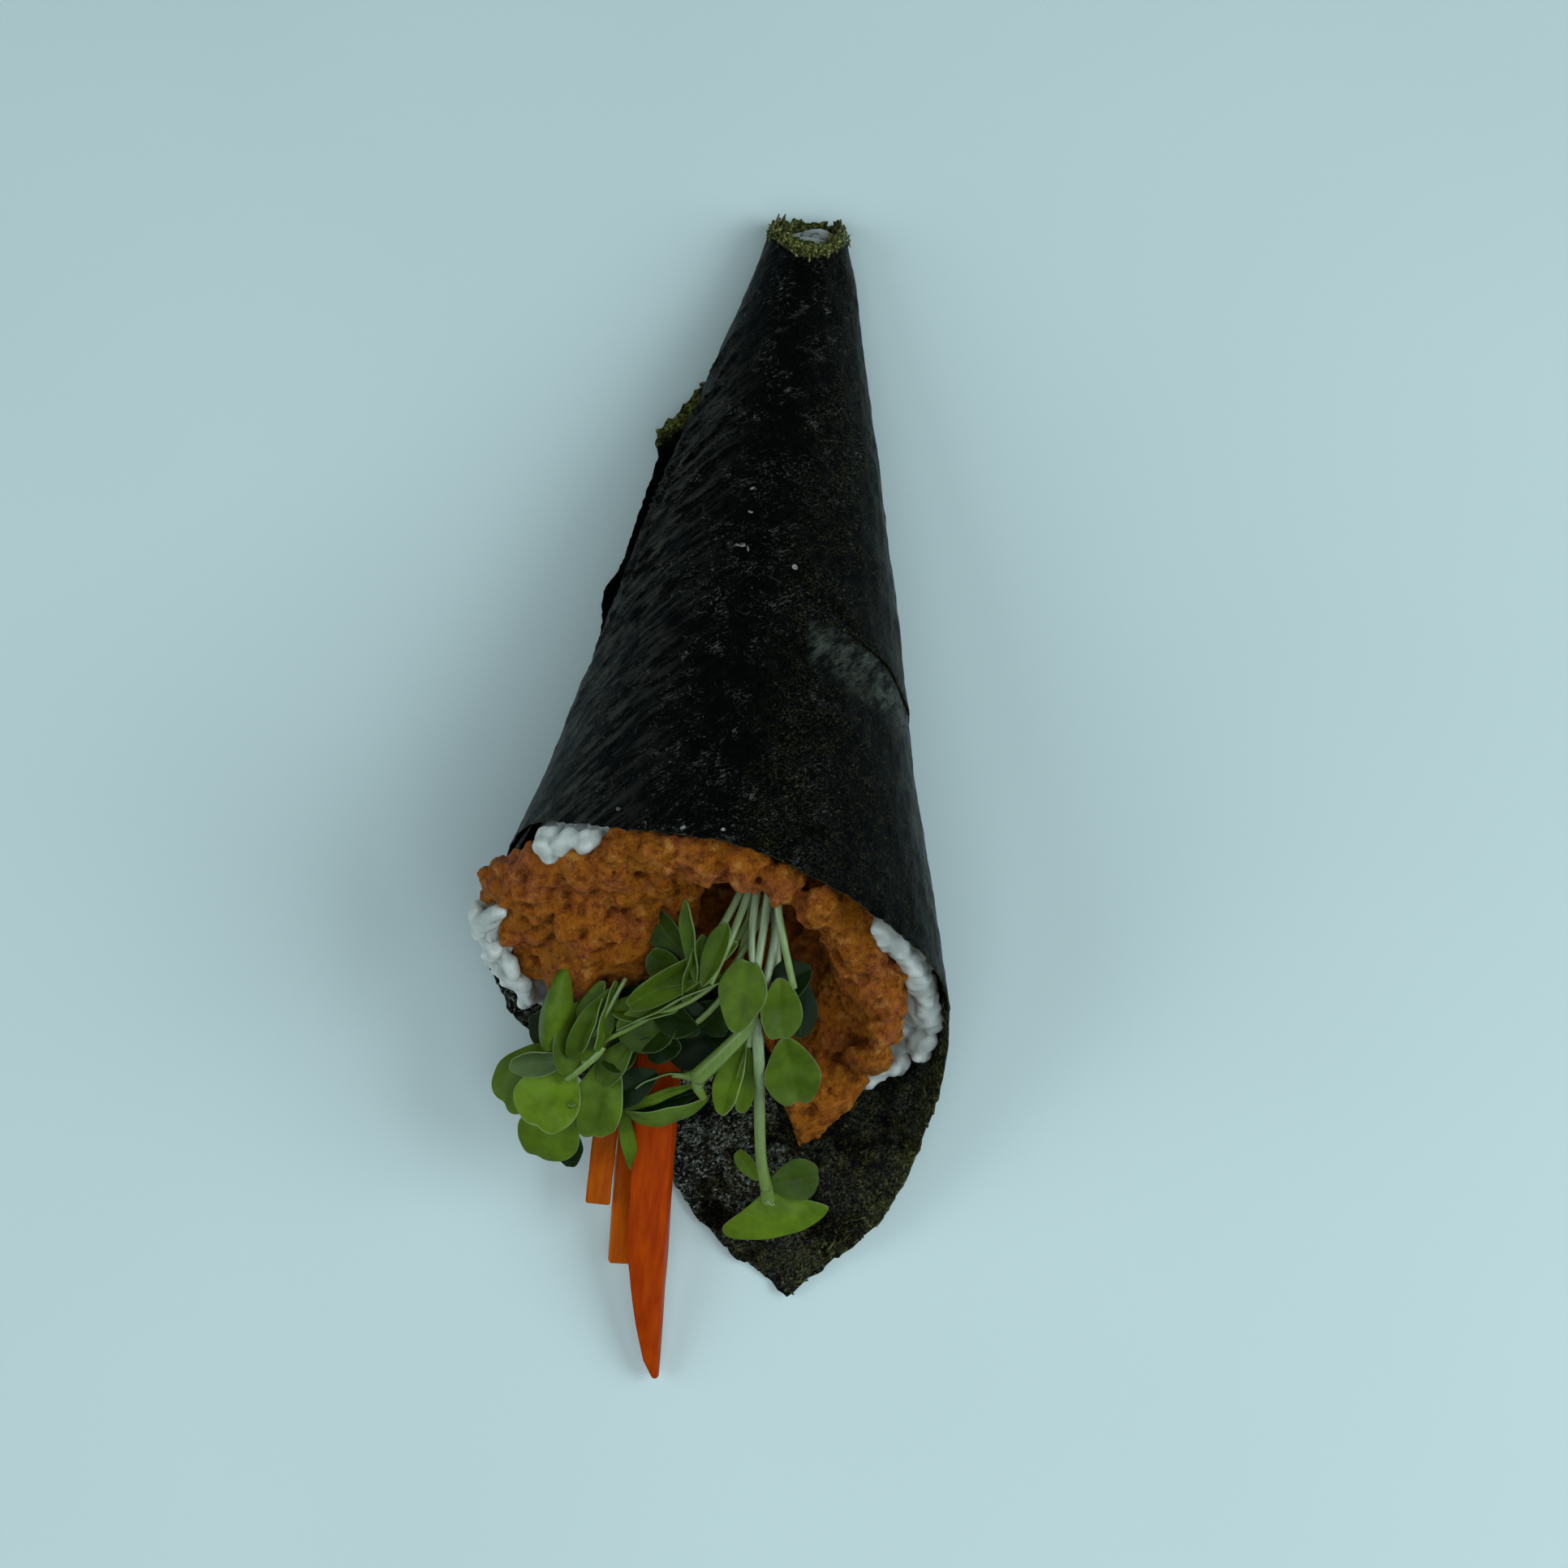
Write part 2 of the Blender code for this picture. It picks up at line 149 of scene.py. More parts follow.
def new_finish(name, **sockets):
    """A material, with numbers and colours that are the same all over set on its own sockets."""
    finish = bpy.data.materials.new(name)
    finish.use_nodes = True
    shader = finish.node_tree.nodes["Principled BSDF"]
    for socket, value in sockets.items():
        shader.inputs[socket.replace("_", " ")].default_value = value
    return finish, finish.node_tree, shader


def fill(tree, socket, value):
    """Links a socket to another node's output, or sets it to a number or a colour."""
    if isinstance(value, bpy.types.NodeSocket):
        tree.links.new(value, socket)
    elif isinstance(value, tuple) and len(value) < len(socket.default_value):
        socket.default_value = (*value, 1)
    else:
        socket.default_value = value


def add_node(tree, kind, **inputs):
    node = tree.nodes.new("ShaderNode" + kind)
    for name, value in inputs.items():
        fill(tree, node.inputs[name], value)
    return node


print("finishes at the start:", len(bpy.data.materials))

# %% [markdown]
# The patterns read object coordinates in millimetres, so that a scale of 1 gives features of about
# a millimetre wherever the piece lies. Image textures would look flatter up close and would need
# unwrapping. A stretched pattern makes strands and streaks.

# %% Patterns


def millimetres(tree, stretch=(1, 1, 1), turn=(0, 0, 0)):
    """Object coordinates in millimetres. A stretch below 1 draws a pattern out along that axis."""
    coordinates = tree.nodes.new("ShaderNodeTexCoord").outputs["Object"]
    scale = tuple(MM / s for s in stretch)
    node = add_node(tree, "Mapping", Vector=coordinates, Scale=scale, Rotation=turn)
    node.vector_type = "TEXTURE"  # this kind turns first and then scales
    return node.outputs[0]


def speckle(tree, place, scale, detail=3.0, roughness=0.55, distortion=0.0):
    node = add_node(
        tree, "TexNoise", Vector=place, Scale=scale, Detail=detail, Roughness=roughness,
        Distortion=distortion,
    )
    return node.outputs[0]


def ramp(tree, factor, *stops):
    """Colours or greys by value: each stop is (position, grey) or (position, (r, g, b))."""
    node = add_node(tree, "ValToRGB", Fac=factor)
    elements = node.color_ramp.elements
    while len(elements) < len(stops):
        elements.new(0.5)
    for element, (position, colour) in zip(elements, stops):
        element.position = position
        element.color = (*colour, 1) if isinstance(colour, tuple) else (colour,) * 3 + (1,)
    return node.outputs[0]


def attribute(tree, name):
    """A value that is stored on the points of the mesh."""
    node = tree.nodes.new("ShaderNodeAttribute")
    node.attribute_name = name
    return node.outputs["Fac"]


# %% [markdown]
# A finish is built up like paint: a ground, then one layer after another, each with a mask that
# says how much of it shows. Relief finer than the mesh comes from a bump node at the end.

# %% Layers and relief


def mix(tree, factor, first, second, blend="MIX"):
    node = tree.nodes.new("ShaderNodeMix")
    node.data_type = "RGBA"
    node.blend_type = blend
    # This node has sockets for several kinds of value, and 6 and 7 are its two colours
    for index, value in ((0, factor), (6, first), (7, second)):
        fill(tree, node.inputs[index], value)
    return node.outputs[2]


def times(tree, first, second):
    node = tree.nodes.new("ShaderNodeMath")
    node.operation = "MULTIPLY"
    fill(tree, node.inputs[0], first)
    fill(tree, node.inputs[1], second)
    return node.outputs[0]


def bump(tree, shader, height, strength, depth=0.1):
    """Depth is in millimetres."""
    node = add_node(tree, "Bump", Height=height, Strength=strength, Distance=depth * MM)
    tree.links.new(node.outputs[0], shader.inputs["Normal"])


trial, tree, shader = new_finish("trial")
bump(tree, shader, times(tree, speckle(tree, millimetres(tree), 1.0), 0.5), 1.0)
print("nodes in a finish with one bump:", len(tree.nodes))
bpy.data.materials.remove(trial)

# %% [markdown]
# ## The cone
# The roll is a cone that lies on its side. Its section is an oval that grows evenly from an apex
# on the table, with a flat foot. A circle would be simpler, but soft food sags a little under its
# own weight. These are the measures that the solid model uses.

# %% The section
HALF_WIDTH = 0.240  # of the distance from the apex, as are the next three
HEIGHT = 0.385
WAIST = 0.181
SINK = 0.004
LOWER_ROUNDNESS = 0.8
SECTION_STEPS = 720


def oval(angle):
    """(x, z) of the section one unit from the apex."""
    c, s = math.cos(angle), math.sin(angle)
    if s >= 0:
        return HALF_WIDTH * c, WAIST + (HEIGHT - WAIST) * s
    x = math.copysign(abs(c) ** LOWER_ROUNDNESS, c) * HALF_WIDTH
    return x, max(0.0, WAIST - (WAIST + SINK) * abs(s) ** LOWER_ROUNDNESS)


SECTION = [oval(math.tau * i / SECTION_STEPS - math.pi / 2) for i in range(SECTION_STEPS + 1)]
SECTION_ALONG = [0.0]
for (x0, z0), (x1, z1) in zip(SECTION, SECTION[1:]):
    SECTION_ALONG.append(SECTION_ALONG[-1] + math.hypot(x1 - x0, z1 - z0))
rays = [Vector((x, -1, z)).normalized() for x, z in SECTION]
TURN_ANGLE = sum(a.angle(b) for a, b in zip(rays, rays[1:]))
print("one turn of the sheet is", round(math.degrees(TURN_ANGLE), 1), "degrees of the flat sheet")

# %% [markdown]
# Two numbers name any point of the cone: the turn, which is the share of the way round from the
# bottom centre towards the right, and the distance from the apex. Turns go past 1 where the sheet
# overlaps itself. With them, anything can be put on the cone without working out its angle.

# %% Points on the cone
APEX_X = -1.5 * MM
APEX_Y = 106.3 * MM
BEND = 0.148  # per metre
MOUTH_FLARE = 2.2 * MM
FLARE_TURN, FLARE_WIDTH = 0.79, 0.12


def section_at(turn):
    """(x, z) of the section one unit from the apex."""
    goal = (turn % 1.0) * SECTION_ALONG[-1]
    i = min(SECTION_STEPS - 1, max(0, bisect.bisect_right(SECTION_ALONG, goal) - 1))
    share = (goal - SECTION_ALONG[i]) / (SECTION_ALONG[i + 1] - SECTION_ALONG[i])
    (x0, z0), (x1, z1) = SECTION[i], SECTION[i + 1]
    return x0 + (x1 - x0) * share, z0 + (z1 - z0) * share


def outward_at(turn):
    x, z = section_at(turn)
    return Vector((x, 0, z - WAIST)).normalized()


def middle_at(distance):
    """The cone's middle line, which bends a little to one side."""
    return Vector((APEX_X + BEND * distance**2, APEX_Y - distance, WAIST * distance))


def cone_point(turn, distance, inset=0.0):
    x, z = section_at(turn)
    point = middle_at(distance) + Vector((x, 0, z - WAIST)) * distance - outward_at(turn) * inset
    near_mouth = smoothstep((distance / MM - 105) / 30)
    point.x -= MOUTH_FLARE * bell(turn % 1.0, FLARE_TURN, FLARE_WIDTH) * near_mouth
    return point


def axis_distance(turn, reach):
    """The distance along the axis, from the distance along the sheet."""
    x, z = section_at(turn)
    return reach / math.sqrt(1 + x * x + z * z)


print("top of the cone 110 mm from its apex:", [round(v / MM, 1) for v in cone_point(0.5, 110 * MM)])

# %% [markdown]
# ## Seaweed finish
# Toasted seaweed is pressed from shreds, like paper, so it shows thin curly fibres and slanting
# streaks. A line appears where a smooth noise passes through its middle value, which makes threads
# that never cross themselves. Real hairs would be far too many for something so flat.

# %% Fibres
BLACK = (0.0, 0.0, 0.0)
FIBRE_WIDTH = 0.04  # of the range of the noise


def hairlines(tree, place, scale, width, distortion):
    """Thin curly lines: the places where a smooth noise passes through its middle value."""
    curls = speckle(tree, place, scale, 2.5, 0.55, distortion)
    return ramp(tree, curls, (0.5 - width, 0.0), (0.5, 1.0), (0.5 + width, 0.0))


def fibres(tree, place, thick):
    """Streaks and curls, each broken up by a coarser noise. Thick is near 1."""
    slanting = millimetres(tree, (0.4, 1.0, 1.0), (0, 0, 0.6))
    streaks = hairlines(tree, slanting, 1.1, FIBRE_WIDTH * thick, 1.2)
    curls = hairlines(tree, place, 0.8, FIBRE_WIDTH * thick, 1.6)
    broken = speckle(tree, place, 0.42, 6.0, 0.75)
    start = 0.56 - 0.08 * thick
    streaks = mix(tree, ramp(tree, broken, (start, 0.0), (start + 0.1, 1.0)), BLACK, streaks)
    curls = mix(tree, ramp(tree, broken, (0.42, 1.0), (0.56, 0.0)), BLACK, curls)
    return streaks, curls


print("a fibre takes up", 2 * FIBRE_WIDTH, "of the range of its noise")

# %% [markdown]
# The sheet's outer side is nearly black with grey and olive fibres, and its inner side is rough and greyer.
# Where it is cut or torn the light comes through and it turns yellow green. The light that the creases catch
# is painted on their crests as a paler colour, and a sheen on the right side, just below the outer layer's
# end, is painted as a grey patch. Those places could be painted by hand. Here the points of the mesh store
# how frayed, grey or olive they are and where the painted crease sheen and the painted sheen patch go, and
# the finish reads those values.

# %% Seaweed finish
# Painted sheen: a paler colour on the crests of the creases stands in for the light they catch
CREASE_SHEEN = (0.050, 0.049, 0.040)
# Painted sheen: the dark and light greys of the patch below the outer layer's end
SHEEN_PATCH_DARK, SHEEN_PATCH_LIGHT = (0.004, 0.005, 0.004), (0.070, 0.078, 0.064)
TORN_COLOURS = (0.014, 0.016, 0.005), (0.10, 0.105, 0.022), (0.40, 0.41, 0.13)


def seaweed_finish(name, ground, grey, olive, glint, share, thick, gloss, relief, **sockets):
    """Share is how much of the sheet shows its fibres, from 0 to 1, and thick how thick they are."""
    finish, tree, shader = new_finish(name, **sockets)
    place = millimetres(tree)
    grit = speckle(tree, place, 1.9, 4.0, 0.75)
    cloud = speckle(tree, place, 0.16, 5.0, 0.7)
    torn_patches = speckle(tree, place, 0.36, 6.0, 0.75)
    pleats = speckle(tree, millimetres(tree, (0.16, 1.0, 0.6), (0, 0, 0.8)), 1.0, 4.0, 0.7)
    streaks, curls = fibres(tree, place, thick)

    patchy = ramp(tree, cloud, (0.61 - 0.4 * share, 0.0), (0.70 - 0.4 * share, 1.0))
    patchy = mix(tree, attribute(tree, "grey"), mix(tree, 0.15, BLACK, patchy), patchy)
    colour = mix(tree, mix(tree, patchy, BLACK, streaks), ground, grey)
    colour = mix(tree, mix(tree, attribute(tree, "olive"), BLACK, curls), colour, olive)
    # Painted sheen on the crests of the pleats where the sheet is creased
    lit = times(tree, attribute(tree, "crease_sheen"), ramp(tree, pleats, (0.47, 0.0), (0.62, 1.0)))
    colour = mix(tree, lit, colour, CREASE_SHEEN)
    # Painted glints: pale specks of colour in the grey patches stand in for sparkles of light
    sparks = ramp(tree, grit, (0.66 - 0.07 * thick, 0.0), (0.73 - 0.07 * thick, 1.0))
    colour = mix(tree, mix(tree, patchy, BLACK, sparks), colour, glint)
    # Painted sheen: a grey patch just below the outer layer's end stands in for the light that the layer
    # under it reflects
    sheen_patch = ramp(tree, times(tree, attribute(tree, "sheen_patch"), torn_patches), (0.2, 0.0), (0.5, 0.9))
    colour = mix(tree, sheen_patch, colour, ramp(tree, pleats, (0.40, SHEEN_PATCH_DARK), (0.62, SHEEN_PATCH_LIGHT)))
    frayed = ramp(tree, times(tree, attribute(tree, "fray"), torn_patches), (0.24, 0.0), (0.48, 1.0))
    ragged = ramp(tree, grit, *zip((0.38, 0.52, 0.66), TORN_COLOURS))
    tree.links.new(mix(tree, frayed, colour, ragged), shader.inputs["Base Color"])

    low, high = gloss
    tree.links.new(ramp(tree, cloud, (0.35, low), (0.7, high)), shader.inputs["Roughness"])
    strokes = mix(tree, 0.5, streaks, curls, "LIGHTEN")
    bump(tree, shader, mix(tree, 0.4, pleats, mix(tree, 0.5, strokes, grit)), 1.0, relief)
    return finish


seaweed_outside = seaweed_finish(
    "seaweed_outside", ground=(0.0003, 0.0004, 0.0003), grey=(0.150, 0.150, 0.120),
    olive=(0.060, 0.053, 0.022), glint=(0.10, 0.10, 0.08), share=0.41, thick=0.8,
    gloss=(0.24, 0.36), relief=0.8, Specular_IOR_Level=0.035,
)
seaweed_inside = seaweed_finish(
    "seaweed_inside", ground=(0.0008, 0.0010, 0.0006), grey=(0.26, 0.27, 0.22),
    olive=(0.110, 0.095, 0.028), glint=(0.50, 0.52, 0.44), share=0.43, thick=1.7,
    gloss=(0.30, 0.5), relief=1.5, Specular_IOR_Level=0.13,
)
seaweed_cut = seaweed_finish(
    "seaweed_cut", ground=(0.012, 0.015, 0.004), grey=(0.10, 0.105, 0.025),
    olive=(0.08, 0.09, 0.02), glint=(0.20, 0.20, 0.06), share=0.6, thick=1.0,
    gloss=(0.5, 0.7), relief=0.3, Specular_IOR_Level=0.25,
)
print("finishes so far:", [finish.name for finish in bpy.data.materials])

# %% [markdown]
# ## The flat sheet
# The sheet could be modelled straight in its rolled shape, but paper is easier to cut while it is
# flat. A cone unrolls into a fan about its apex, so a turn on the cone is an angle on the fan, and
# the distance from the apex, here called the reach, stays the same. Angles are counted from the
# corner of the flap.

# %% Turn and reach
CORNER_TURN = 0.065


def flat_angle(turn):
    return (turn - CORNER_TURN) * TURN_ANGLE


def towards(angle):
    return Vector((math.cos(angle), math.sin(angle), 0))


def flat_point(turn, reach):
    angle = flat_angle(turn)
    return Vector((reach * math.cos(angle), reach * math.sin(angle), 0))


def turn_and_reach(flat):
    return CORNER_TURN + math.atan2(flat.y, flat.x) / TURN_ANGLE, flat.length


print("half a turn from the corner:", [round(v / MM) for v in flat_point(CORNER_TURN + 0.5, 100 * MM)])

# %% [markdown]
# This step lays a grid on the fan and cuts it along straight lines with bisect_plane, which works
# like a pair of scissors. Two edges meet in the corner that stays outside the roll as a flap, and a
# third ends the outer layer. The near edge is a lip round the open tip.

# %% Cut the sheet
FIRST_TURN = -0.394
LAST_TURN = 1.440
EDGE_SQUARE = math.radians(45)
EDGE_FROM_APEX = 126.0 * MM
END_SQUARE = math.radians(117.3)
END_FROM_APEX = 89.3 * MM
TIP_REACH = 21.0 * MM
TIP_SLANT = 0.5 * MM
TIP_CUT_BACK = 7.8 * MM  # how much further back the tip's upper rim lies than its lower one
FARTHEST = 178.6 * MM
SHEET_COLUMNS = 405
SHEET_ROWS = 168
# Each cut: the direction square to it, as an angle on the flat sheet, and its distance from the apex
CUTS = (
    (-EDGE_SQUARE, EDGE_FROM_APEX),
    (EDGE_SQUARE, EDGE_FROM_APEX),
    (END_SQUARE, END_FROM_APEX),
)


def lip_reach(turn):
    """How near the apex the sheet starts: a slanting lip round the tip."""
    cut_back = TIP_CUT_BACK * bell(turn % 1.0, 0.49, 0.21)
    return TIP_REACH + cut_back + TIP_SLANT * (1 - math.sin(math.tau * turn))


def cut_sheet():
    bm = bmesh.new()
    bmesh.ops.create_grid(bm, x_segments=SHEET_COLUMNS, y_segments=SHEET_ROWS, size=1.0)
    for vert in bm.verts:
        turn = FIRST_TURN + (LAST_TURN - FIRST_TURN) * (vert.co.x + 1) / 2
        near = lip_reach(turn)
        vert.co = flat_point(turn, near + (FARTHEST - near) * (vert.co.y + 1) / 2)
    for square, distance in CUTS:
        everything = bm.verts[:] + bm.edges[:] + bm.faces[:]
        bmesh.ops.bisect_plane(
            bm, geom=everything, dist=0.02 * MM, plane_co=towards(square) * distance,
            plane_no=towards(square), clear_outer=True,
        )
    return bm


sheet = cut_sheet()
print("flat sheet:", len(sheet.faces), "faces")

# %% [markdown]
# A cut through brittle seaweed isn't clean. The points of the edges are moved by fine noise, most
# of all round the tip and along the flap, and every point stores how frayed it is, for the finish.

# %% Fray the edges
FRAY_WIDTH = 4.5 * MM
FRAY_SCALE, TEAR_SCALE = 0.7 * MM, 3 * MM


def frayedness(turn, reach):
    """Highest on the lip round the tip, next on the flap's right side, and 0 inside the border."""
    flat = flat_point(turn, reach)
    on_right = 1 - smoothstep((turn - 0.17) / 0.12)
    past_corner = smoothstep((turn - CORNER_TURN + 0.03) / 0.09)
    strengths = (0.2, 0.04 + 0.56 * on_right * (0.2 + 0.8 * past_corner), 0.0)
    widths = (0.6, 0.4 + 2.4 * on_right, 0.4)
    nearest = 0.0
    for (square, distance), strength, width in zip(CUTS, strengths, widths):
        inside = distance - flat.dot(towards(square))
        nearest = max(nearest, strength * (1 - smoothstep(inside / (FRAY_WIDTH * width))))
    lip = reach - lip_reach(turn)
    return max(nearest, 1.5 * (1.0 - smoothstep(lip / FRAY_WIDTH)))


def sideways(place, scale, shift):
    """A move within the flat plane, with other noise for each of its two directions."""
    return Vector((wobble(place, 1, scale), wobble(place + mm(shift, shift, shift), 1, scale), 0))


def fray(bm):
    layer = bm.verts.layers.float.new("fray")
    for vert in bm.verts:
        vert[layer] = frayedness(*turn_and_reach(vert.co))
    for vert in [v for v in bm.verts if v.is_boundary]:
        rough = 0.42 + 0.8 * min(1.0, vert[layer])
        place = vert.co.copy()
        ragged = sideways(place, FRAY_SCALE, 9)
        torn = sideways(place, TEAR_SCALE, 5)
        vert.co += (ragged * 0.75 + torn * 0.8) * rough * MM


fray(sheet)
print("points on the sheet's edges:", sum(vert.is_boundary for vert in sheet.verts))

# %% [markdown]
# ## Rolling the sheet
# Each flat point is carried to its place on the cone: its angle gives the turn and its distance
# from the apex stays the same, which is what paper does. Every turn of the roll lies outside the
# one before. On top of that come soft waves, fine crinkles and a fan of creases low on the left.
# A cloth simulation could make the creases, but it would be hard to have them in the right place.

# %% Layers and creases
LAYER_PITCH = 0.8 * MM
SHEET_THICKNESS = 0.2 * MM
CREASE_TURN, CREASE_WIDTH = 0.70, 0.085
CREASE_REACH, CREASE_LENGTH = 72 * MM, 24 * MM
CREASE_SPACING = 3.4 * MM
CREASE_HEIGHT = 1.15 * MM


def layer_inset(turn):
    whole = math.floor(turn)
    return LAYER_PITCH * (1 - whole - smoothstep((turn - whole - 0.1) / 0.8))


def creases(turn, reach):
    """Slanting creases that run from the table on the left up towards the top and the tip."""
    here = turn % 1.0
    strength = bell(here, CREASE_TURN, CREASE_WIDTH) * bell(reach, CREASE_REACH, CREASE_LENGTH)
    along = here * TURN_ANGLE * reach
    place = Vector((reach, along, 0))
    slant = (reach - 0.62 * along + wobble(place, 2.2 * MM, 9 * MM)) / CREASE_SPACING
    ridge = 1 - abs(math.sin(math.pi * slant))
    return CREASE_HEIGHT * strength * ridge**3


def wrinkle(turn, reach):
    """How far the sheet stands out from the cone here."""
    place = Vector((reach * math.cos(math.tau * turn) / 3, reach * math.sin(math.tau * turn) / 3, reach))
    waves = wobble(place, 0.38 * MM, 13 * MM)
    crinkle = wobble(place, 0.20 * MM, 3.4 * MM) + wobble(place, 0.10 * MM, 1.4 * MM)
    return waves + crinkle + creases(turn, reach) - 0.12 * MM


print("the outer layer lies", round((layer_inset(0.4) - layer_inset(1.4)) / MM, 2), "mm further out")

# %% [markdown]
# The cut edges were straight on the flat sheet, but a hand that rolls the sheet bows them. The
# start of the sheet is tucked under the outer layer, and the last edges are pressed against the
# layer below, because edges that gape would let the light in. All of this moves points before they
# go to the cone, where it is a matter of one number each.

# %% Bow, tuck and press the edges
RIGHT_BOW = 5.5 * MM
FLAP_BOW = 2.8 * MM  # how far the flap's two edges bow out on each side of its corner
FLAP_BOW_TURN, FLAP_BOW_WIDTH = 0.055, 0.036
LIP_BOW = 2.0 * MM  # how far the edge bows out at two places of the left side
INNER_START = -0.26
TUCKED_BY = 3.0 * MM


def tucked(turn, reach):
    """The start of the sheet stays under the outer layer's edge, so that only one edge shows."""
    if turn > INNER_START:
        return reach
    angle = flat_angle(turn)
    own = EDGE_FROM_APEX / math.cos(angle + EDGE_SQUARE)
    over = EDGE_FROM_APEX / math.cos(angle + TURN_ANGLE - EDGE_SQUARE) - TUCKED_BY
    share = smoothstep((INNER_START - turn) / 0.05)
    return reach * (1 + (over / own - 1) * share)


def bowed(turn, reach):
    if 0 < turn < 0.5:
        reach -= RIGHT_BOW * bell(turn, 0.21, 0.11) * smoothstep((reach / MM - 90) / 45)
    bow = FLAP_BOW * bell(abs(turn - CORNER_TURN), FLAP_BOW_TURN, FLAP_BOW_WIDTH)
    reach += bow * smoothstep((reach - 110 * MM) / (40 * MM))
    reach += LIP_BOW * bell(turn, 0.59, 0.07) * smoothstep((reach - 100 * MM) / (25 * MM))
    reach += LIP_BOW * bell(turn, -0.15, 0.08) * smoothstep((reach - 110 * MM) / (25 * MM))
    return reach


def pressed_in(turn, reach):
    """How much nearer the layers lie to each other close to the sheet's last two edges."""
    to_end = END_FROM_APEX - flat_point(turn, reach).dot(towards(END_SQUARE))
    to_side = reach * math.sin(max(0.0, LAST_TURN - turn) * TURN_ANGLE)
    buried = 0.97 * MM * (1 - smoothstep(to_side / (8 * MM + 0.11 * reach)))
    return max(buried, 0.5 * MM * (1 - smoothstep(to_end / (20 * MM))))


print("the mouth is bowed out on the left by", round(bowed(0.59, 130 * MM) / MM - 130, 1), "mm")

# %% [markdown]
# Now the flat point can be rolled. The flap is a special case: it leaves the cone and lies on the
# table, where it is crumpled rather than creased.

# %% Roll a point
FLAP_START, FLAP_LENGTH, FLAP_DROP = 138 * MM, 28 * MM, 0.62 * MM
CORNER_SHIFT = 1.9 * MM  # how far the flap's corner is pulled to the left
TIP_START = 78 * MM


def crumple(point):
    size = wobble(point, 0.6 * MM, 8 * MM) + wobble(point, 0.46 * MM, 2.6 * MM)
    return size + wobble(point, 0.22 * MM, 1.2 * MM)


def rolled(turn, reach):
    """The place of a point of the flat sheet on the finished roll."""
    inset = layer_inset(turn) + pressed_in(turn, reach)
    reach = tucked(turn, bowed(turn, reach))
    flap = smoothstep((reach - FLAP_START) / FLAP_LENGTH) * (turn < 0.5)
    point = cone_point(turn, axis_distance(turn, reach), inset)
    lift = wrinkle(turn, reach) * smoothstep(abs((turn + 0.5) % 1.0 - 0.5) / 0.12)
    point += outward_at(turn) * lift * (1 - flap)
    point.z += smoothstep((reach - 118 * MM) / (22 * MM)) * (turn < 0.4) * crumple(point)
    point.z += flap * (0.5 * MM - FLAP_DROP)
    point.x -= CORNER_SHIFT * smoothstep((reach - 164 * MM) / (14 * MM)) * (turn < 0.5)
    lowest = SHEET_THICKNESS * (1.2 if point.y > TIP_START else 0.2)
    point.z = max(lowest, point.z)
    return point


print("the flap's corner lies at", [round(v / MM) for v in rolled(CORNER_TURN, FARTHEST)], "mm")

# %% [markdown]
# Every point of the sheet is rolled, and stores what the finish needs to know: where the painted sheen patch
# and the painted crease sheen go, and where the sheet is grey or olive. The sheet is a bare skin until a
# Solidify modifier makes it a thin wall, whose inner side and rim take other finishes. The skin is also kept
# as a BVH tree, which can be hit with rays, so that later pieces know where the seaweed is.

# %% Roll the sheet
SHEEN_PATCH_LENGTH = 11 * MM
CREASE_SHEEN_TURN, CREASE_SHEEN_WIDTH = 0.67, 0.075


def sheen_patch_amount(turn, reach):
    """1 just below the outer layer's end on the right side, where a grey patch is painted as the sheen of the
    layer under it.
    """
    if not 0.2 < turn < 0.5:
        return 0.0
    below = reach - END_FROM_APEX / math.cos(flat_angle(turn + 1) - END_SQUARE)
    on_side = 1 - smoothstep((turn - 0.425) / 0.03)
    return smoothstep(below / (1.2 * MM)) * (1 - smoothstep((below - 4 * MM) / SHEEN_PATCH_LENGTH)) * on_side


def greyness(point):
    at_corner = smoothstep((-60 * MM - point.y) / (5 * MM))
    return (1 - smoothstep((point.x - 9 * MM) / (9 * MM))) * (1 - at_corner)


def give_wall(piece, thickness, offset):
    """Makes a skin a thin wall. Its other side and its rim take the second and third finish."""
    wall = piece.modifiers.new("thickness", "SOLIDIFY")
    wall.thickness = thickness
    wall.offset = offset
    wall.material_offset = 1
    wall.material_offset_rim = 2


olive, sheen_patch, grey, crease_sheen = (
    sheet.verts.layers.float.new(name) for name in ("olive", "sheen_patch", "grey", "crease_sheen")
)
for vert in sheet.verts:
    turn, reach = turn_and_reach(vert.co)
    vert.co = rolled(turn, reach)
    vert[olive] = smoothstep((vert.co.x + 1 * MM) / (9 * MM))
    vert[sheen_patch] = sheen_patch_amount(turn, reach)
    vert[grey] = greyness(vert.co)
    vert[crease_sheen] = bell(turn % 1.0, CREASE_SHEEN_TURN, CREASE_SHEEN_WIDTH) * smoothstep((reach - 40 * MM) / (25 * MM))
skin = BVHTree.FromBMesh(sheet)
sheet.normal_update()
on_top = [face for face in sheet.faces if face.calc_center_median().z > 0.8 * cad_box[1][2]]
if sum(face.normal.z for face in on_top) < 0:
    bmesh.ops.reverse_faces(sheet, faces=sheet.faces)
nori = add_piece(
    "nori", sheet, (seaweed_outside, seaweed_inside, seaweed_cut), "seaweed", "nori_wrap"
)
give_wall(nori, SHEET_THICKNESS, -1)

# %% [markdown]
# ## The loose corner
# Low on the left a corner of the sheet has come out from under the roll. It is a small patch of
# its own: a grid stretched between four corners, of which two are hidden below the roll.

# %% The corner that sticks out
CORNER_PATCH = {
    "hidden tip side": (-10.2, 63.0, 1.8),
    "outer tip side": (-17.5, 51.4, 4.5),
    "hidden mouth side": (-15.5, 15.0, 1.8),
    "outer mouth side": (-23.4, 16.0, 5.0),
}


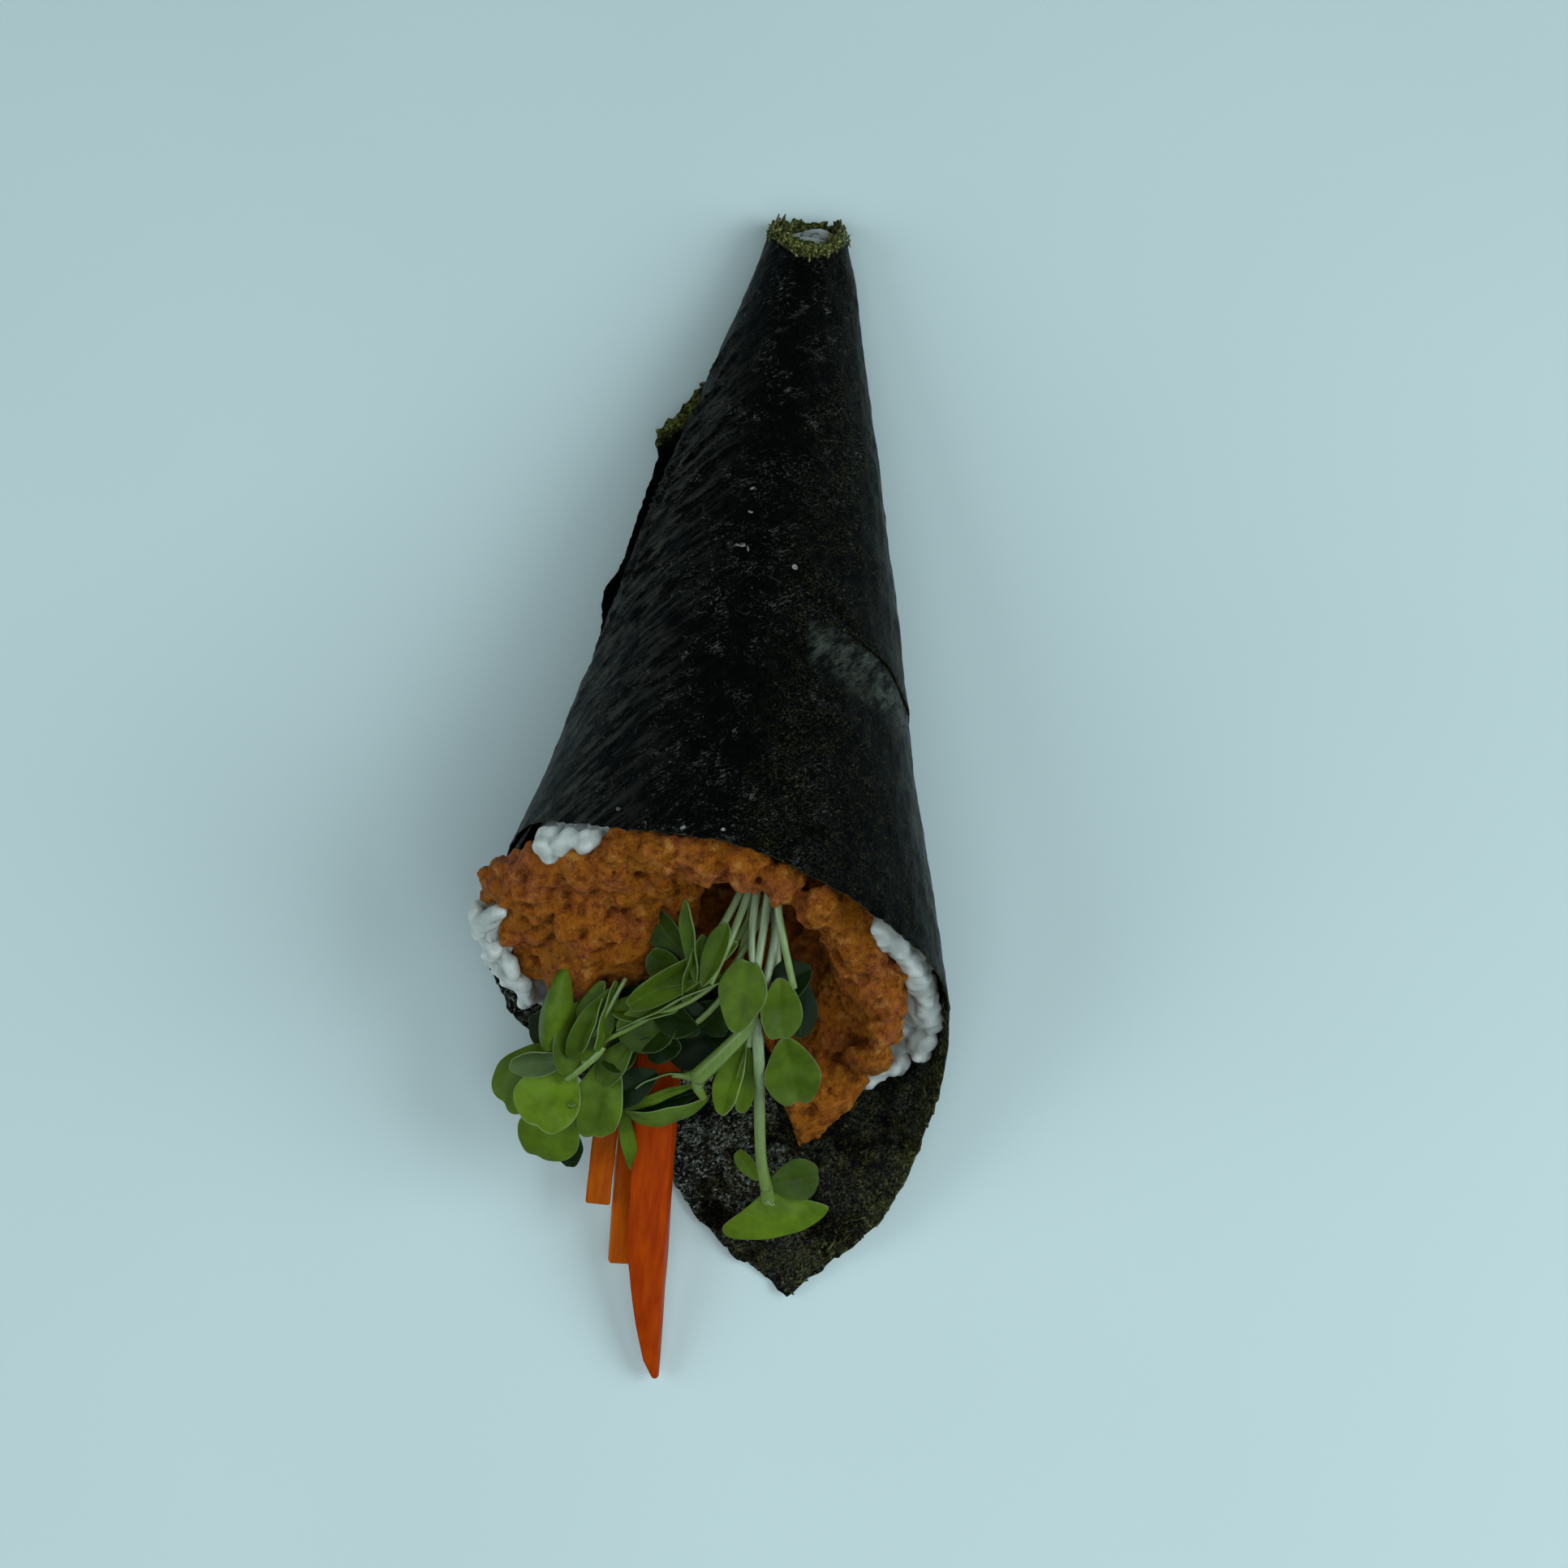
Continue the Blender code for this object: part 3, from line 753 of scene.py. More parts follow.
def loose_corner():
    a, b, c, d = (mm(*corner) for corner in CORNER_PATCH.values())
    bm = bmesh.new()
    bmesh.ops.create_grid(bm, x_segments=18, y_segments=84, size=1.0)
    layer = bm.verts.layers.float.new("fray")
    for vert in bm.verts:
        across, along = (vert.co.x + 1) / 2, (vert.co.y + 1) / 2
        at_top = 1 - smoothstep((along - 0.07) / 0.13)
        border = vert.is_boundary
        vert[layer] = max(at_top, 0.1 * smoothstep((across - 0.8) / 0.2))
        point = a.lerp(b, across).lerp(c.lerp(d, across), along)
        point.x -= across * MM * (0.3 * math.sin(math.pi * along) + 1.3 * bell(along, 0.76, 0.09))
        point.x -= across**3 * MM * 1.7 * bell(along, 0.08, 0.05)
        point.z += 1.2 * MM * math.sin(math.pi * across) + wobble(point, 0.6 * MM, 4 * MM)
        if border:
            rough = 0.25 + 1.0 * at_top
            torn = wobble(point, rough, 0.7 * MM), wobble(point, 1.4 * rough, 0.8 * MM)
            point += Vector((*torn, 0)) * MM
        vert.co = point
    bmesh.ops.recalc_face_normals(bm, faces=bm.faces)
    if sum(face.normal.z for face in bm.faces) < 0:
        bmesh.ops.reverse_faces(bm, faces=bm.faces)
    return bm


corner = add_piece(
    "nori_loose_corner", loose_corner(), (seaweed_outside, seaweed_inside, seaweed_cut),
    "seaweed", "nori_wrap",
)
give_wall(corner, SHEET_THICKNESS, -1)

# %% [markdown]
# ## Sampling a surface
# Rice grains and crumbs of tuna have to be spread over the solids. A helper picks random points,
# weighted by area, and drops those that come too near a point it already has. Geometry Nodes have
# this as Distribute Points on Faces, but in code the places can be filtered by any rule.

# %% Scatter points over a solid


def solid_copy(node):
    """The solid's mesh as a bmesh, with its loose triangles joined up."""
    bm = bmesh.new()
    bm.from_mesh(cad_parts[node].data)
    bmesh.ops.remove_doubles(bm, verts=bm.verts, dist=0.01 * MM)
    bm.normal_update()
    return bm


def scatter(bm, wanted, spacing, tries, rng):
    """[(point, normal)] over the faces that wanted accepts, at least spacing apart."""
    triangles = [face for face in bm.faces if wanted(face.calc_center_median(), face.normal)]
    areas = [face.calc_area() for face in triangles]
    found, cells = [], {}
    for face in rng.choices(triangles, areas, k=tries):
        a, b, c = (vert.co for vert in face.verts[:3])
        u, v = rng.random(), rng.random()
        if u + v > 1:
            u, v = 1 - u, 1 - v
        point = a + (b - a) * u + (c - a) * v
        cell = tuple(int(x // spacing) for x in point)
        near = [
            q for i in (-1, 0, 1) for j in (-1, 0, 1) for k in (-1, 0, 1)
            for q in cells.get((cell[0] + i, cell[1] + j, cell[2] + k), ())
        ]
        if all((q - point).length > spacing for q in near):
            cells.setdefault(cell, []).append(point)
            found.append((point, face.normal.copy()))
    return found


def random_turn(rng):
    axis = Vector((rng.gauss(0, 1), rng.gauss(0, 1), rng.gauss(0, 1))).normalized()
    return Matrix.Rotation(rng.uniform(0, math.tau), 4, axis)


def random_spin(rng):
    return Matrix.Rotation(rng.uniform(0, math.tau), 4, "Z")


def face_out(normal):
    """The turn that points a shape's top along this normal."""
    return normal.to_track_quat("Z", "Y").to_matrix().to_4x4()


rice_solid = solid_copy("rice_lining")
print("the rice's solid has", len(rice_solid.faces), "joined triangles")
rice_solid.free()

# %% [markdown]
# ## Rice
# Sushi rice is short, plump, white and a little see-through, and its grains stick together. Light
# scatters inside a grain, which is subsurface. Deep between the grains it gets lost, so the finish
# darkens where the mesh says that it lies in a crevice.

# %% Rice finish
rice_finish, tree, shader = new_finish(
    "rice", Roughness=0.36, Subsurface_Weight=0.8, Subsurface_Radius=(2.4, 2.3, 2.1),
    Subsurface_Scale=1.0 * MM, Specular_IOR_Level=0.5,
)
place = millimetres(tree)
milky = speckle(tree, place, 0.35, 3.0)
fine = speckle(tree, place, 2.4, 3.0)
milk = ramp(tree, milky, (0.35, (0.44, 0.455, 0.43)), (0.65, (0.60, 0.61, 0.59)))
between = ramp(tree, attribute(tree, "crevice"), (0.15, 0.0), (1.0, 0.75))
tree.links.new(mix(tree, between, milk, (0.20, 0.205, 0.195)), shader.inputs["Base Color"])
bump(tree, shader, fine, 0.5, 0.12)
print("finish:", rice_finish.name)

# %% [markdown]
# A heap of whole grains would be thousands of hidden shapes. Only the ones that show are made, over
# a core, which is a copy of the solid drawn in along its normals. Low on the left the rice swells
# up against the seaweed's slanting rim, so both the core and the grains stay behind a soft limit.

# %% Rice core
CORE_DEPTH = 0.8 * MM
SOFT_LIMIT = 1.5 * MM
RIM_X, RIM_Y, RIM_SLOPE = -31.8, -28, 0.94  # the rim's slant, seen from above, in millimetres
FOOT_X, FOOT_Y, FOOT_Z, FOOT_SLOPE = -31.3, -16, 17, 0.8  # and its curve in below, near the table


def behind_the_rim(point):
    """Low on the left the rice stays inside the sheet's slanting rim. The limit is a soft one."""
    x, y, z = point / MM
    limit = RIM_X - RIM_SLOPE * (y - RIM_Y)
    if z < FOOT_Z and y < FOOT_Y:
        limit = max(limit, FOOT_X + FOOT_SLOPE * (FOOT_Z - z))
    beyond = limit * MM + SOFT_LIMIT - point.x
    if beyond < 0:
        return point
    held = SOFT_LIMIT * math.exp(-beyond / SOFT_LIMIT)
    return Vector((limit * MM + held, point.y, point.z))


def drawn_in(node, depth):
    bm = solid_copy(node)
    for vert in bm.verts:
        vert.co -= vert.normal * depth
    return bm


core = drawn_in("rice_lining", CORE_DEPTH)
for vert in core.verts:
    vert.co = behind_the_rim(vert.co)
add_piece("rice_core", core, (rice_finish,), "rice", "rice_lining")

# %% [markdown]
# One grain is a sphere of a few dozen faces, stretched and bent a little. Each is turned so that it
# mostly lies along the surface, as grains do when they are pressed, with some standing out.
# Operators slow down as a bmesh grows, so a grain is made in one of its own and then poured in.

# %% One grain
GRAIN_LENGTH, GRAIN_WIDTH, GRAIN_HEIGHT = 4.8 * MM, 2.9 * MM, 2.7 * MM
GRAIN_DEPTH = 0.8 * MM
CARRIER = bpy.data.meshes.new("carrier")


def pour(small, bm):
    """Adds a small bmesh to a large one."""
    small.to_mesh(CARRIER)
    small.free()
    bm.from_mesh(CARRIER)


def add_grain(bm, point, normal, rng):
    grain = bmesh.new()
    bmesh.ops.create_uvsphere(grain, u_segments=10, v_segments=7, radius=0.5)
    size = rng.uniform(0.8, 1.1)
    bend = rng.uniform(0.02, 0.16)
    seed = point * 900
    for vert in grain.verts:
        x, y, z = vert.co.z, vert.co.x, vert.co.y  # the poles become the ends of the grain
        plump = 1 + 0.12 * x
        arched = z * GRAIN_HEIGHT * plump + bend * x * x * 4 * MM
        uneven = 1 + 0.16 * noise.noise(Vector((x, y, z)) * 2.2 + seed)
        vert.co = Vector((x * GRAIN_LENGTH, y * GRAIN_WIDTH * plump, arched)) * size * uneven
    lean = Matrix.Rotation(rng.gauss(0, 0.38), 4, "Y") @ Matrix.Rotation(rng.gauss(0, 0.3), 4, "X")
    spin = random_spin(rng)
    place = Matrix.Translation(point - normal * GRAIN_DEPTH * rng.uniform(0.85, 1.5))
    bmesh.ops.transform(grain, matrix=place @ face_out(normal) @ spin @ lean, verts=grain.verts)
    pour(grain, bm)


print(f"a grain is about {GRAIN_LENGTH / MM} mm long and {GRAIN_WIDTH / MM} mm wide")

# %% [markdown]
# Cooked grains stick together, so the finished heap goes through a voxel Remesh, which melts what
# touches into one skin. Then each point looks at its neighbours: where they stand higher than it
# does, it lies in a crevice, and that value is stored for the finish. An ambient occlusion node
# would do this too, but it costs time in every render.

# %% Melt a heap and mark its crevices


def melted(bm, voxel):
    """The bmesh after Blender's voxel remesh, as a new bmesh."""
    mesh = bpy.data.meshes.new("melting")
    bm.to_mesh(mesh)
    bm.free()
    holder = bpy.data.objects.new("melting", mesh)
    bpy.context.scene.collection.objects.link(holder)
    remesh = holder.modifiers.new("melt", "REMESH")
    remesh.mode = "VOXEL"
    remesh.voxel_size = voxel
    graph = bpy.context.evaluated_depsgraph_get()
    result = bmesh.new()
    result.from_mesh(holder.evaluated_get(graph).to_mesh())
    bpy.data.objects.remove(holder)
    bpy.data.meshes.remove(mesh)
    return result


def relax(bm, factor):
    bmesh.ops.smooth_vert(
        bm, verts=bm.verts, factor=factor, use_axis_x=True, use_axis_y=True, use_axis_z=True
    )


def mark_crevices(bm, rounds, depth):
    """Stores how deep each point lies below its neighbourhood, blurred over some rounds."""
    layer = bm.verts.layers.float.new("crevice")
    bm.normal_update()
    smooth = {vert: vert.co.copy() for vert in bm.verts}
    for _ in range(rounds):
        around = {}
        for vert in bm.verts:
            near = [smooth[edge.other_vert(vert)] for edge in vert.link_edges]
            around[vert] = sum(near, Vector()) / len(near)
        smooth = around
    for vert in bm.verts:
        vert[layer] = max(0.0, (smooth[vert] - vert.co).dot(vert.normal)) / depth


cube = bmesh.new()
bmesh.ops.create_cube(cube, size=2 * MM)
cube = melted(cube, 0.4 * MM)
print("a 2 mm cube melts into", len(cube.faces), "faces")
cube.free()

# %% [markdown]
# Only a part of the rice shows: its face, and what reaches past the seaweed. On the right the rice
# may not break through the sheet, so a ray from the middle of the roll finds the seaweed and holds
# each point inside it. A Shrinkwrap modifier with a vertex group for the right side could do that
# too, but the ray is one line.

# %% Where rice may lie
SHEET_GAP = 0.3  # millimetres
RICE_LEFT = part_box("rice_lining")[0][0] / MM


def grain_shows(centre, normal):
    """The face of the rice, and the part of its outside that reaches past the seaweed."""
    x, y, z = centre / MM
    under_tuna = -15 < x < 20 and z > 30
    buried_side = x < -15 and 25.5 < z < 37.5 and normal.x > -0.5
    past_the_rim = y < -5 - 0.62 * (44 - z)
    on_left = x < RICE_LEFT + 6 and y < -12
    return not (under_tuna or buried_side) and (past_the_rim or on_left)


def within_the_sheet(point):
    """On the right the rice stays inside the sheet: a ray from the middle finds where that is."""
    middle = middle_at(APEX_Y - point.y)
    middle.y = point.y
    away = point - middle
    hit = skin.ray_cast(middle, away, away.length + SHEET_GAP * MM)[0]
    return hit - away.normalized() * SHEET_GAP * MM if hit and point.x > 0 else point


print("the rice's solid starts", round(RICE_LEFT, 1), "mm left of the middle")

# %% [markdown]
# Grains are scattered over the part of the solid that shows, and a few strips swell out further
# than the solid does.

# %% Rice grains
GRAIN_SPACING = 2.5 * MM
RICE_VOXEL = 0.33 * MM
# Where the rice swells out more than the solid: start, end, number of grains and spread, with
# sizes in millimetres
EXTRA_RICE = (
    ((-24.0, -17.3, 38.2), (-16.8, -15.6, 40.6), 10, 0.65),
    ((-30.6, -22.6, 27.0), (-31.2, -27.0, 20.0), 12, 1.3),
    ((-30.2, -28.6, 19.0), (-26.0, -33.0, 14.0), 12, 1.2),
    ((22.4, -20.6, 33.6), (27.4, -25.0, 30.2), 14, 1.2),
    ((27.0, -24.6, 29.4), (31.6, -31.0, 18.0), 18, 1.4),
    ((21.6, -39.6, 8.0), (27.8, -36.4, 10.6), 16, 1.0),
    ((30.2, -32.6, 17.0), (30.0, -35.4, 14.0), 5, 0.6),
)


def rice_grains():
    rng = random.Random(11)
    bm = bmesh.new()
    solid = solid_copy("rice_lining")
    places = scatter(solid, grain_shows, GRAIN_SPACING, 9000, rng)
    solid.free()
    for point, normal in places:
        on_left = point.x < -15 * MM and 25 * MM < point.z < 38 * MM
        sunk = GRAIN_DEPTH if on_left else 0.0
        add_grain(bm, behind_the_rim(point - normal * sunk), normal, rng)
    for start, end, count, spread in EXTRA_RICE:
        for i in range(count):
            away = random_turn(rng) @ (Vector((0, 0, spread)) * MM)
            place = mm(*start).lerp(mm(*end), (i + 0.5) / count) + away
            add_grain(bm, behind_the_rim(place), away.normalized(), rng)
    print("rice grains:", len(places) + sum(row[2] for row in EXTRA_RICE))
    return bm


grains = melted(rice_grains(), RICE_VOXEL)
relax(grains, 0.2)
for vert in grains.verts:
    lump = wobble(vert.co, 0.28 * MM, 1.5 * MM)
    vert.co = within_the_sheet(vert.co) + vert.normal * lump
mark_crevices(grains, 4, 0.2 * MM)
add_piece("rice_grains", grains, (rice_finish,), "rice", "rice_lining")

# %% [markdown]
# ## Minced tuna
# Tuna scraped from the bone and mixed with a chilli sauce is a soft, crumbly mass of orange, with pale
# strings of fat, and its creases are painted dark red as shade. The colours vary at several scales at once,
# so noises of different sizes are laid over one another, as a cook would see patches, strings and flecks.

# %% Tuna finish
tuna_finish, tree, shader = new_finish(
    "tuna", Subsurface_Weight=0.12, Subsurface_Radius=(1.2, 0.4, 0.1), Subsurface_Scale=1.0 * MM,
    Specular_IOR_Level=0.18,
)
place = millimetres(tree)
patches = speckle(tree, place, 0.12, 4.0, 0.6)
flecks = speckle(tree, place, 0.8, 5.0, 0.65)
pale = speckle(tree, place, 0.4, 5.0, 0.7)
strings = speckle(tree, millimetres(tree, (1.0, 0.5, 0.7)), 2.4, 4.0, 0.65, 0.8)
meat = ramp(
    tree, patches,
    (0.40, (0.50, 0.120, 0.028)), (0.5, (0.56, 0.152, 0.008)), (0.60, (0.48, 0.144, 0.006)),
)
meat = mix(tree, ramp(tree, flecks, (0.38, 0.85), (0.54, 0.0)), meat, (0.19, 0.036, 0.004))
meat = mix(tree, ramp(tree, strings, (0.5, 0.0), (0.68, 0.7)), meat, (0.66, 0.235, 0.025))
meat = mix(tree, ramp(tree, pale, (0.58, 0.0), (0.66, 0.7)), meat, (0.74, 0.32, 0.08))
# Painted shade: the meat turns dark red where the mesh lies in a crevice
crevice_shade = ramp(tree, attribute(tree, "crevice"), (0.25, 0.0), (1.2, 0.85))
tree.links.new(mix(tree, crevice_shade, meat, (0.09, 0.016, 0.002)), shader.inputs["Base Color"])
tree.links.new(ramp(tree, flecks, (0.3, 0.3), (0.7, 0.6)), shader.inputs["Roughness"])
crumbs = speckle(tree, place, 1.1, 7.0, 0.75, 0.4)
bump(tree, shader, mix(tree, 0.35, crumbs, strings), 1.0, 1.8)
print("finish:", tuna_finish.name, "with", len(tree.nodes), "nodes")

# %% [markdown]
# Separate balls would look like gravel. So crumbs of all sizes are pushed halfway into a core, and
# are melted together after that, which keeps a crease where two crumbs meet. Flakes lie flat on the
# surface, as minced fish does when it is pressed with a spoon.

# %% Crumbs
FLAKE_SPACING = 2.7 * MM
BIT_SPACING = 1.5 * MM
LARGE_CRUMB = 1.8 * MM


def add_crumb(bm, centre, radius, stretch, turn):
    """An uneven crumb. Stretch is its proportions along its own three axes."""
    crumb = bmesh.new()
    bmesh.ops.create_icosphere(crumb, subdivisions=3 if radius > LARGE_CRUMB else 2, radius=radius)
    for vert in crumb.verts:
        vert.co *= 1 + 0.55 * noise.noise(vert.co / (0.8 * radius) + centre * 700)
    bmesh.ops.transform(crumb, matrix=turn @ Matrix.Diagonal((*stretch, 1)), verts=crumb.verts)
    bmesh.ops.translate(crumb, verts=crumb.verts, vec=centre)
    pour(crumb, bm)


def laid(normal, rng, lean):
    """A turn that lays a crumb flat on the surface, spun and leaning by chance."""
    return face_out(normal) @ random_spin(rng) @ Matrix.Rotation(rng.gauss(0, lean), 4, "Y")


def tuna_shows(centre, normal):
    return centre.y < 2 * MM


def add_flakes(bm, solid, rng):
    flakes = scatter(solid, tuna_shows, FLAKE_SPACING, 9000, rng)
    for point, normal in flakes:
        radius = rng.uniform(1.3, 2.7) * MM
        centre = point - normal * (0.62 * radius)
        add_crumb(bm, centre, radius, (1.45, 1.0, 0.62), laid(normal, rng, 0.4))
    print("flakes of tuna:", len(flakes))


def add_bits(bm, solid, rng):
    """Small bits, which lie in patches."""
    bits = scatter(solid, tuna_shows, BIT_SPACING, 9000, rng)
    bits = [(point, normal) for point, normal in bits if wobble(point, 1, 4.5 * MM) > -0.15]
    for point, normal in bits:
        radius = rng.uniform(0.55, 1.15) * MM
        add_crumb(bm, point - normal * 0.55 * radius, radius, (1.5, 1.0, 0.8), random_turn(rng))
    print("small bits of tuna:", len(bits))


# %% [markdown]
# The mass also swells over the rice at the left and hangs out in a tongue at the lower right. These lumps are
# listed one by one, each with a few crumbs on it so that it looks like the rest.

# %% Tuna lumps
TUNA_DEPTH = 1.5 * MM
# Each lump: centre in millimetres, radius in millimetres, and flatness
TUNA_LUMPS = (
    ((-28.8, -21.4, 29.0), 2.6, 0.7),
    ((-26.4, -20.2, 31.6), 2.8, 0.7),
    ((-22.6, -20.0, 33.4), 3.4, 0.7),
    ((-25.8, -22.4, 31.4), 3.0, 0.7),
    ((-23.2, -22.8, 31.8), 3.0, 0.7),
    ((-5.4, -21.4, 24.6), 2.8, 0.8),
    ((-7.4, -25.4, 21.6), 2.8, 0.8),
    ((-4.8, -19.0, 28.0), 2.4, 0.8),
    ((-26.4, -25.0, 26.6), 4.0, 0.8),
    ((-18.4, -18.8, 36.0), 3.4, 0.7),
    ((-12.6, -16.4, 39.8), 2.6, 0.7),
    ((-9.4, -16.2, 40.4), 2.6, 0.7),
    ((-14.4, -17.6, 38.0), 3.2, 0.7),
    ((-7.6, -16.2, 40.4), 3.2, 0.7),
    ((-4.6, -15.8, 41.0), 2.4, 0.7),
    ((-2.0, -15.8, 41.0), 3.2, 0.7),
    ((3.6, -16.2, 40.8), 3.2, 0.7),
    ((8.6, -17.6, 39.8), 2.8, 0.7),
    ((13.6, -20.0, 37.6), 2.8, 0.7),
    ((12.4, -46.0, 6.6), 2.0, 0.8),
    ((-24.8, -18.4, 35.2), 1.6, 0.7),
    ((24.2, -29.8, 26.2), 2.6, 0.8),
    ((24.8, -33.4, 22.8), 2.5, 0.8),
    ((23.6, -36.8, 18.6), 2.5, 0.8),
)


def add_lump(bm, centre, radius, flat, rng):
    add_crumb(bm, centre, radius * MM, (1.2, 1.0, flat), laid(Vector((0, -1, 1)), rng, 0.3))
    for _ in range(int(radius * 7)):
        way = random_turn(rng) @ Vector((0, 0, radius * MM * 0.85))
        size = rng.uniform(0.6, 1.5) * MM
        add_crumb(bm, centre + way, size, (1.3, 1.0, 0.8), random_turn(rng))


def tuna_mass():
    rng = random.Random(5)
    solid = solid_copy("tuna_filling")
    bm = drawn_in("tuna_filling", TUNA_DEPTH)
    add_flakes(bm, solid, rng)
    add_bits(bm, solid, rng)
    for centre, radius, flat in TUNA_LUMPS:
        add_lump(bm, mm(*centre), radius, flat, rng)
    solid.free()
    return bm


mass = tuna_mass()
print("faces before melting:", len(mass.faces))

# %% [markdown]
# The heap of crumbs is melted like the rice. At the lower right it would be a wide wall, where a
# spoon left a narrow tongue, so the points there are pushed in from both sides. Pushing points is
# gentler than a boolean cut, because the crumbly surface goes along with them.

# %% Melt the crumbs into one mass
TUNA_VOXEL = 0.485 * MM
TONGUE_EDGE, TONGUE_ACROSS = Vector((25.4, -38.8)) * MM, Vector((0.75, -0.66)).normalized()
TONGUE_LEFT = 12.6 * MM
TONGUE_TOP = -34 * MM


def pare(bm):
    """Pushes the mass in from both sides at the lower right, so that a narrow tongue is left."""
    for vert in bm.verts:
        beyond = (vert.co.xy - TONGUE_EDGE).dot(TONGUE_ACROSS) + wobble(vert.co, 1.0 * MM, 4 * MM)
        inside = smoothstep((vert.co.x - 16.5 * MM) / (3 * MM))
        if beyond > 0:
            vert.co.xy -= TONGUE_ACROSS * (0.85 * beyond * inside)
        low = 1 - smoothstep((vert.co.z - 13 * MM) / (6 * MM))
        left = TONGUE_LEFT + 0.42 * (-42 * MM - vert.co.y) + wobble(vert.co, 0.9 * MM, 3 * MM)
        if vert.co.y < TONGUE_TOP and vert.co.x < left:
            vert.co.x += 0.9 * (left - vert.co.x) * low


mass = melted(mass, TUNA_VOXEL)
relax(mass, 0.3)
pare(mass)
mark_crevices(mass, 5, 0.3 * MM)
for vert in mass.verts:
    rough = wobble(vert.co, 0.34 * MM, 1.5 * MM) + wobble(vert.co, 0.26 * MM, 0.8 * MM)
    vert.co += vert.normal * rough
add_piece("tuna", mass, (tuna_finish,), "tuna", "tuna_filling")

# %% [markdown]
# ## Carrot sticks
# A cut carrot is orange with long strands that run along the root, and it is a little wetter and darker in
# patches. The strands are a noise that is stretched along the sticks. The three sticks get three pairs of
# colours: the middle stick's pair is paler, which paints in the light that the long stick's shadow takes from
# it, and the short stick's pair is more yellow.

# %% Carrot finish


def carrot_finish(name, dark, light):
    finish, tree, shader = new_finish(
        name, Subsurface_Weight=0.1, Subsurface_Radius=(1.5, 0.4, 0.1), Subsurface_Scale=1.0 * MM,
        Specular_IOR_Level=0.04,
    )
    strands = speckle(tree, millimetres(tree, (1.0, 0.12, 0.6)), 1.1, 4.0, 0.6)
    wet = speckle(tree, millimetres(tree), 0.3, 3.0)
    flesh = ramp(tree, strands, (0.35, dark), (0.65, light))
    flesh = mix(tree, ramp(tree, wet, (0.35, 0.35), (0.6, 0.0)), flesh, dark)
    tree.links.new(flesh, shader.inputs["Base Color"])
    tree.links.new(ramp(tree, wet, (0.35, 0.36), (0.65, 0.55)), shader.inputs["Roughness"])
    bump(tree, shader, strands, 0.5, 0.12)
    return finish


carrot_deep = carrot_finish("carrot_deep", (0.34, 0.030, 0.0005), (0.47, 0.056, 0.0005))
# Painted light: the middle stick lies in the long one's shadow, so its colours are paler to make up for it
carrot_painted_light = carrot_finish("carrot_painted_light", (0.50, 0.085, 0.0005), (0.68, 0.140, 0.0005))
carrot_warm = carrot_finish("carrot_warm", (0.33, 0.052, 0.001), (0.46, 0.088, 0.001))
print("carrot finishes:", carrot_deep.name, carrot_painted_light.name, carrot_warm.name)

# %% [markdown]
# The sticks are cut by hand, so each is a square bar with edges that are crisp but not razor sharp,
# faces that aren't quite flat and, on the longest, a tip pared to a point from its left side. A
# cube is divided along its length, each ring is moved and scaled to its place, and a bevel softens
# the edges. A plain box with a Bevel modifier would be quicker, but its faces would be quite flat.

# %% One stick
STICK_RINGS = 26
STICK_EASE = 0.97  # keeps the uneven faces inside the solid
POINT_FULLNESS = 1.26
EDGE_SOFTNESS = 0.34 * MM


def stick_axes(ahead, roll):
    """The directions across and up, for a stick that points ahead and is rolled about its length."""
    level = ahead.cross(Vector((0, 0, 1))).normalized()
    up = level.cross(ahead)
    roll = math.radians(roll)
    return level * math.cos(roll) + up * math.sin(roll), up * math.cos(roll) - level * math.sin(roll)


def divided_cube():
    bm = bmesh.new()
    bmesh.ops.create_cube(bm, size=1.0)
    long_edges = [e for e in bm.edges if abs(e.verts[0].co.y - e.verts[1].co.y) > 0.5]
    bmesh.ops.subdivide_edges(bm, edges=long_edges, cuts=STICK_RINGS - 1, use_grid_fill=True)
    return bm


def soften_edges(bm):
    bmesh.ops.recalc_face_normals(bm, faces=bm.faces)
    bm.normal_update()
    corners = [e for e in bm.edges if len(e.link_faces) == 2 and e.calc_face_angle() > 0.9]
    bmesh.ops.bevel(
        bm, geom=corners, offset=EDGE_SOFTNESS, offset_type="OFFSET", segments=3, profile=0.5,
        affect="EDGES", material=-1, clamp_overlap=True,
    )


def carrot_stick(inner, outer, width, height, roll, pointed):
    inner, outer = Vector(inner), Vector(outer)
    length = (outer - inner).length
    side, up = stick_axes((outer - inner).normalized(), roll)
    bm = divided_cube()
    for vert in bm.verts:
        share = vert.co.y + 0.5
        wide, high, shift = width, height, 0.0
        if pointed:
            to_tip = length * (1 - share) + 0.4
            wide = min(width, POINT_FULLNESS * math.sqrt(to_tip))
            high = height * (0.35 + 0.65 * wide / width)
            shift = 0.5 * (width - wide)
        point = inner.lerp(outer, share) - side * shift
        point += side * vert.co.x * wide * STICK_EASE + up * vert.co.z * high * STICK_EASE
        vert.co = (point + side * wobble(point, 0.10, 3.0) + up * wobble(point, 0.12, 4.0)) * MM
    soften_edges(bm)
    return bm


print("a stick has", STICK_RINGS, "rings of faces")

# %% [markdown]
# The three sticks lie side by side with their inner ends in the mouth, and the point of the longest rests on
# the table. Each stick's ends and thickness, which are those of its solid, are listed below.

# %% Carrot sticks
# Each stick: inner end, outer end, width and height in millimetres, roll in degrees, whether it is
# pointed, and its finish
CARROTS = {
    "carrot_stick_long": ((-6.6, -21.0, 18.6), (-2.3, -84.2, 1.7), 5.6, 3.8, -8, True, carrot_deep),
    "carrot_stick_middle": ((-9.8, -30.0, 10.0), (-7.3, -69.1, 2.4), 3.0, 2.4, 10, False, carrot_painted_light),
    "carrot_stick_short": ((-12.0, -33.0, 12.8), (-11.2, -61.4, 7.0), 3.5, 3.2, 4, False, carrot_warm),
}

for name, (*measures, finish) in CARROTS.items():
    add_piece(name.replace("stick_", ""), carrot_stick(*measures), (finish,), "carrot", name)
